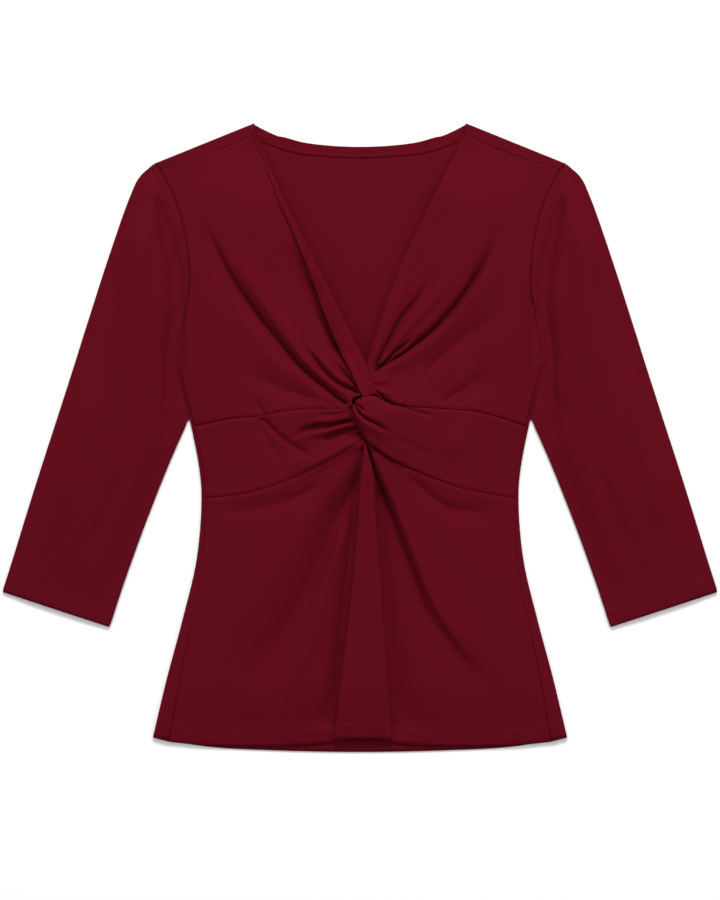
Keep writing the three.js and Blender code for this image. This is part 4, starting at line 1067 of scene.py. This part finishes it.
def knit_relief(nodes, links, place):
    """Wales along the cloth and courses across it, as a fine bump."""
    weave = nodes.new("ShaderNodeMath")
    weave.operation = "MULTIPLY"
    for k, (direction, scale, distortion, detail) in enumerate(KNIT_WAVES):
        wave = nodes.new("ShaderNodeTexWave")
        wave.bands_direction = direction
        wave.inputs["Scale"].default_value = scale
        wave.inputs["Distortion"].default_value = distortion
        wave.inputs["Detail Scale"].default_value = detail
        links.new(place, wave.inputs["Vector"])
        links.new(wave.outputs["Fac"], weave.inputs[k])
    bump = nodes.new("ShaderNodeBump")
    bump.inputs["Strength"].default_value = 0.35
    bump.inputs["Distance"].default_value = 0.0003
    links.new(weave.outputs["Value"], bump.inputs["Height"])
    return bump.outputs["Normal"]


def plain_material(name, colour, roughness, specular):
    material, shader = new_material(name, roughness, specular)
    shader.inputs["Base Color"].default_value = (*colour, 1)
    return material


# Floor, lights and camera

CAMERA_LENS = 100
CAMERA_HEIGHT = 2.504
CAMERA_Y = -0.0115
FLOOR_SIZE = 6
FLOOR_DROP = 0.0002
SKY = 0.47
LIGHTS = [
    # name, place, size, power
    ("key_top", (0.15, 3.4, 2.5), (1.9, 1.2), 165),
    ("fill_right", (1.9, 0.3, 1.7), (1.0, 1.4), 12),
    ("fill_left", (-1.9, 0.3, 1.9), (1.0, 1.4), 11),
]


def make_floor():
    bpy.ops.mesh.primitive_plane_add(size=FLOOR_SIZE, location=(0, 0, -FLOOR_DROP))
    floor = bpy.context.object
    floor.name = "floor"
    floor.data.materials.append(plain_material("floor_white", FLOOR_COLOUR, 0.9, 0.5))


def make_light(name, place, size, power):
    data = bpy.data.lights.new(name, "AREA")
    data.shape = "RECTANGLE"
    data.size, data.size_y = size
    data.energy = power
    light = bpy.data.objects.new(name, data)
    light.location = place
    light.rotation_mode = "QUATERNION"
    light.rotation_quaternion = Vector(place).to_track_quat("Z", "Y")
    bpy.context.collection.objects.link(light)


def make_studio():
    make_floor()
    for light in LIGHTS:
        make_light(*light)
    world = bpy.data.worlds.new("studio")
    bpy.context.scene.world = world
    world.use_nodes = True
    sky = world.node_tree.nodes["Background"]
    sky.inputs["Color"].default_value = (1, 1, 1, 1)
    sky.inputs["Strength"].default_value = SKY
    bpy.context.scene.view_settings.view_transform = "Standard"


def make_camera():
    data = bpy.data.cameras.new("camera")
    data.lens = CAMERA_LENS
    data.clip_end = 20
    camera = bpy.data.objects.new("camera", data)
    camera.location = (0, CAMERA_Y, CAMERA_HEIGHT)
    bpy.context.collection.objects.link(camera)
    bpy.context.scene.camera = camera


# Assembly

make_camera()
make_studio()
knit = knit_material("knit", KNIT_COLOUR)
inside = knit_material("knit_inside", INSIDE_COLOUR)

back = make_cloth("back", "back_panel", back_grids(), knit)
facing_grids = [facing_grid()]
facing = make_cloth(
    "neck_facing_back", "back_neck_facing", facing_grids, inside, FACING_CLOTH,
)
bust_r = make_cloth("bust_wearer_right", "bust_right", [bust_right_grid()], knit)
bust_l = make_cloth("bust_wearer_left", "bust_left", [bust_left_grid()], knit)
strip = make_cloth("neck_strip", "neck_facing_right", [strip_grid()], inside)
mid_r = make_cloth("midriff_wearer_right", "midriff_right", [midriff_right_grid()], knit)
mid_l = make_cloth("midriff_wearer_left", "midriff_left", [midriff_left_grid()], knit)
skirt = make_cloth("lower_front", "skirt_front", [skirt_grid()], knit)
right_sleeve = sleeve_grids()
sleeve_r = make_cloth("sleeve_wearer_right", "sleeve_right", right_sleeve, knit)
left_sleeve = [flip(grid) for grid in right_sleeve]
sleeve_l = make_cloth("sleeve_wearer_left", "sleeve_left", left_sleeve, knit)

# Rows of stitches along the hems, the cuffs and the neck
# The stitches' material is the thread's red with a painted sheen in its colour
thread_with_painted_sheen = plain_material("thread_with_painted_sheen", THREAD_COLOUR_WITH_PAINTED_SHEEN, 0.7, 0.05)
hem_rows = []
for rise in HEM_ROWS:
    left_half = [(x, y + rise) for x, y in FRONT_HEM]
    pleat_y = FRONT_HEM[-1][1] + PLEAT_HEM_RISE + rise
    pleat_ends = (PLEAT[-1][1] + PLEAT_ROW_INSET, PLEAT[-1][2] - PLEAT_ROW_INSET)
    hem_rows.append((skirt, Line(mirrored(left_half)), *RIGHT_HEM_SHARES))
    hem_rows.append((skirt, Line(left_half), *LEFT_HEM_SHARES))
    hem_rows.append((skirt, Line([(x, pleat_y) for x in pleat_ends]), *SHORT_ROW_SHARES))
hem_stitches = make_stitches("hem_stitches", hem_rows, thread_with_painted_sheen)
right_cuff = [(sleeve_r, Line(cuff_row(rise)), 0, 1) for rise in CUFF_ROWS]
left_cuff = [(sleeve_l, Line(mirrored(cuff_row(rise))), 0, 1) for rise in CUFF_ROWS]
cuff_stitches_r = make_stitches("cuff_stitches_right", right_cuff, thread_with_painted_sheen)
cuff_stitches_l = make_stitches("cuff_stitches_left", left_cuff, thread_with_painted_sheen)
strip_rows = [(strip, Line(STRIP_STITCH), *SHORT_ROW_SHARES)]
strip_stitches = make_stitches("neck_strip_stitches", strip_rows, thread_with_painted_sheen)
facing_rows = [(facing, Line(both_halves(FACING_STITCH)), *SHORT_ROW_SHARES)]
facing_stitches = make_stitches("neck_facing_stitches", facing_rows, thread_with_painted_sheen)
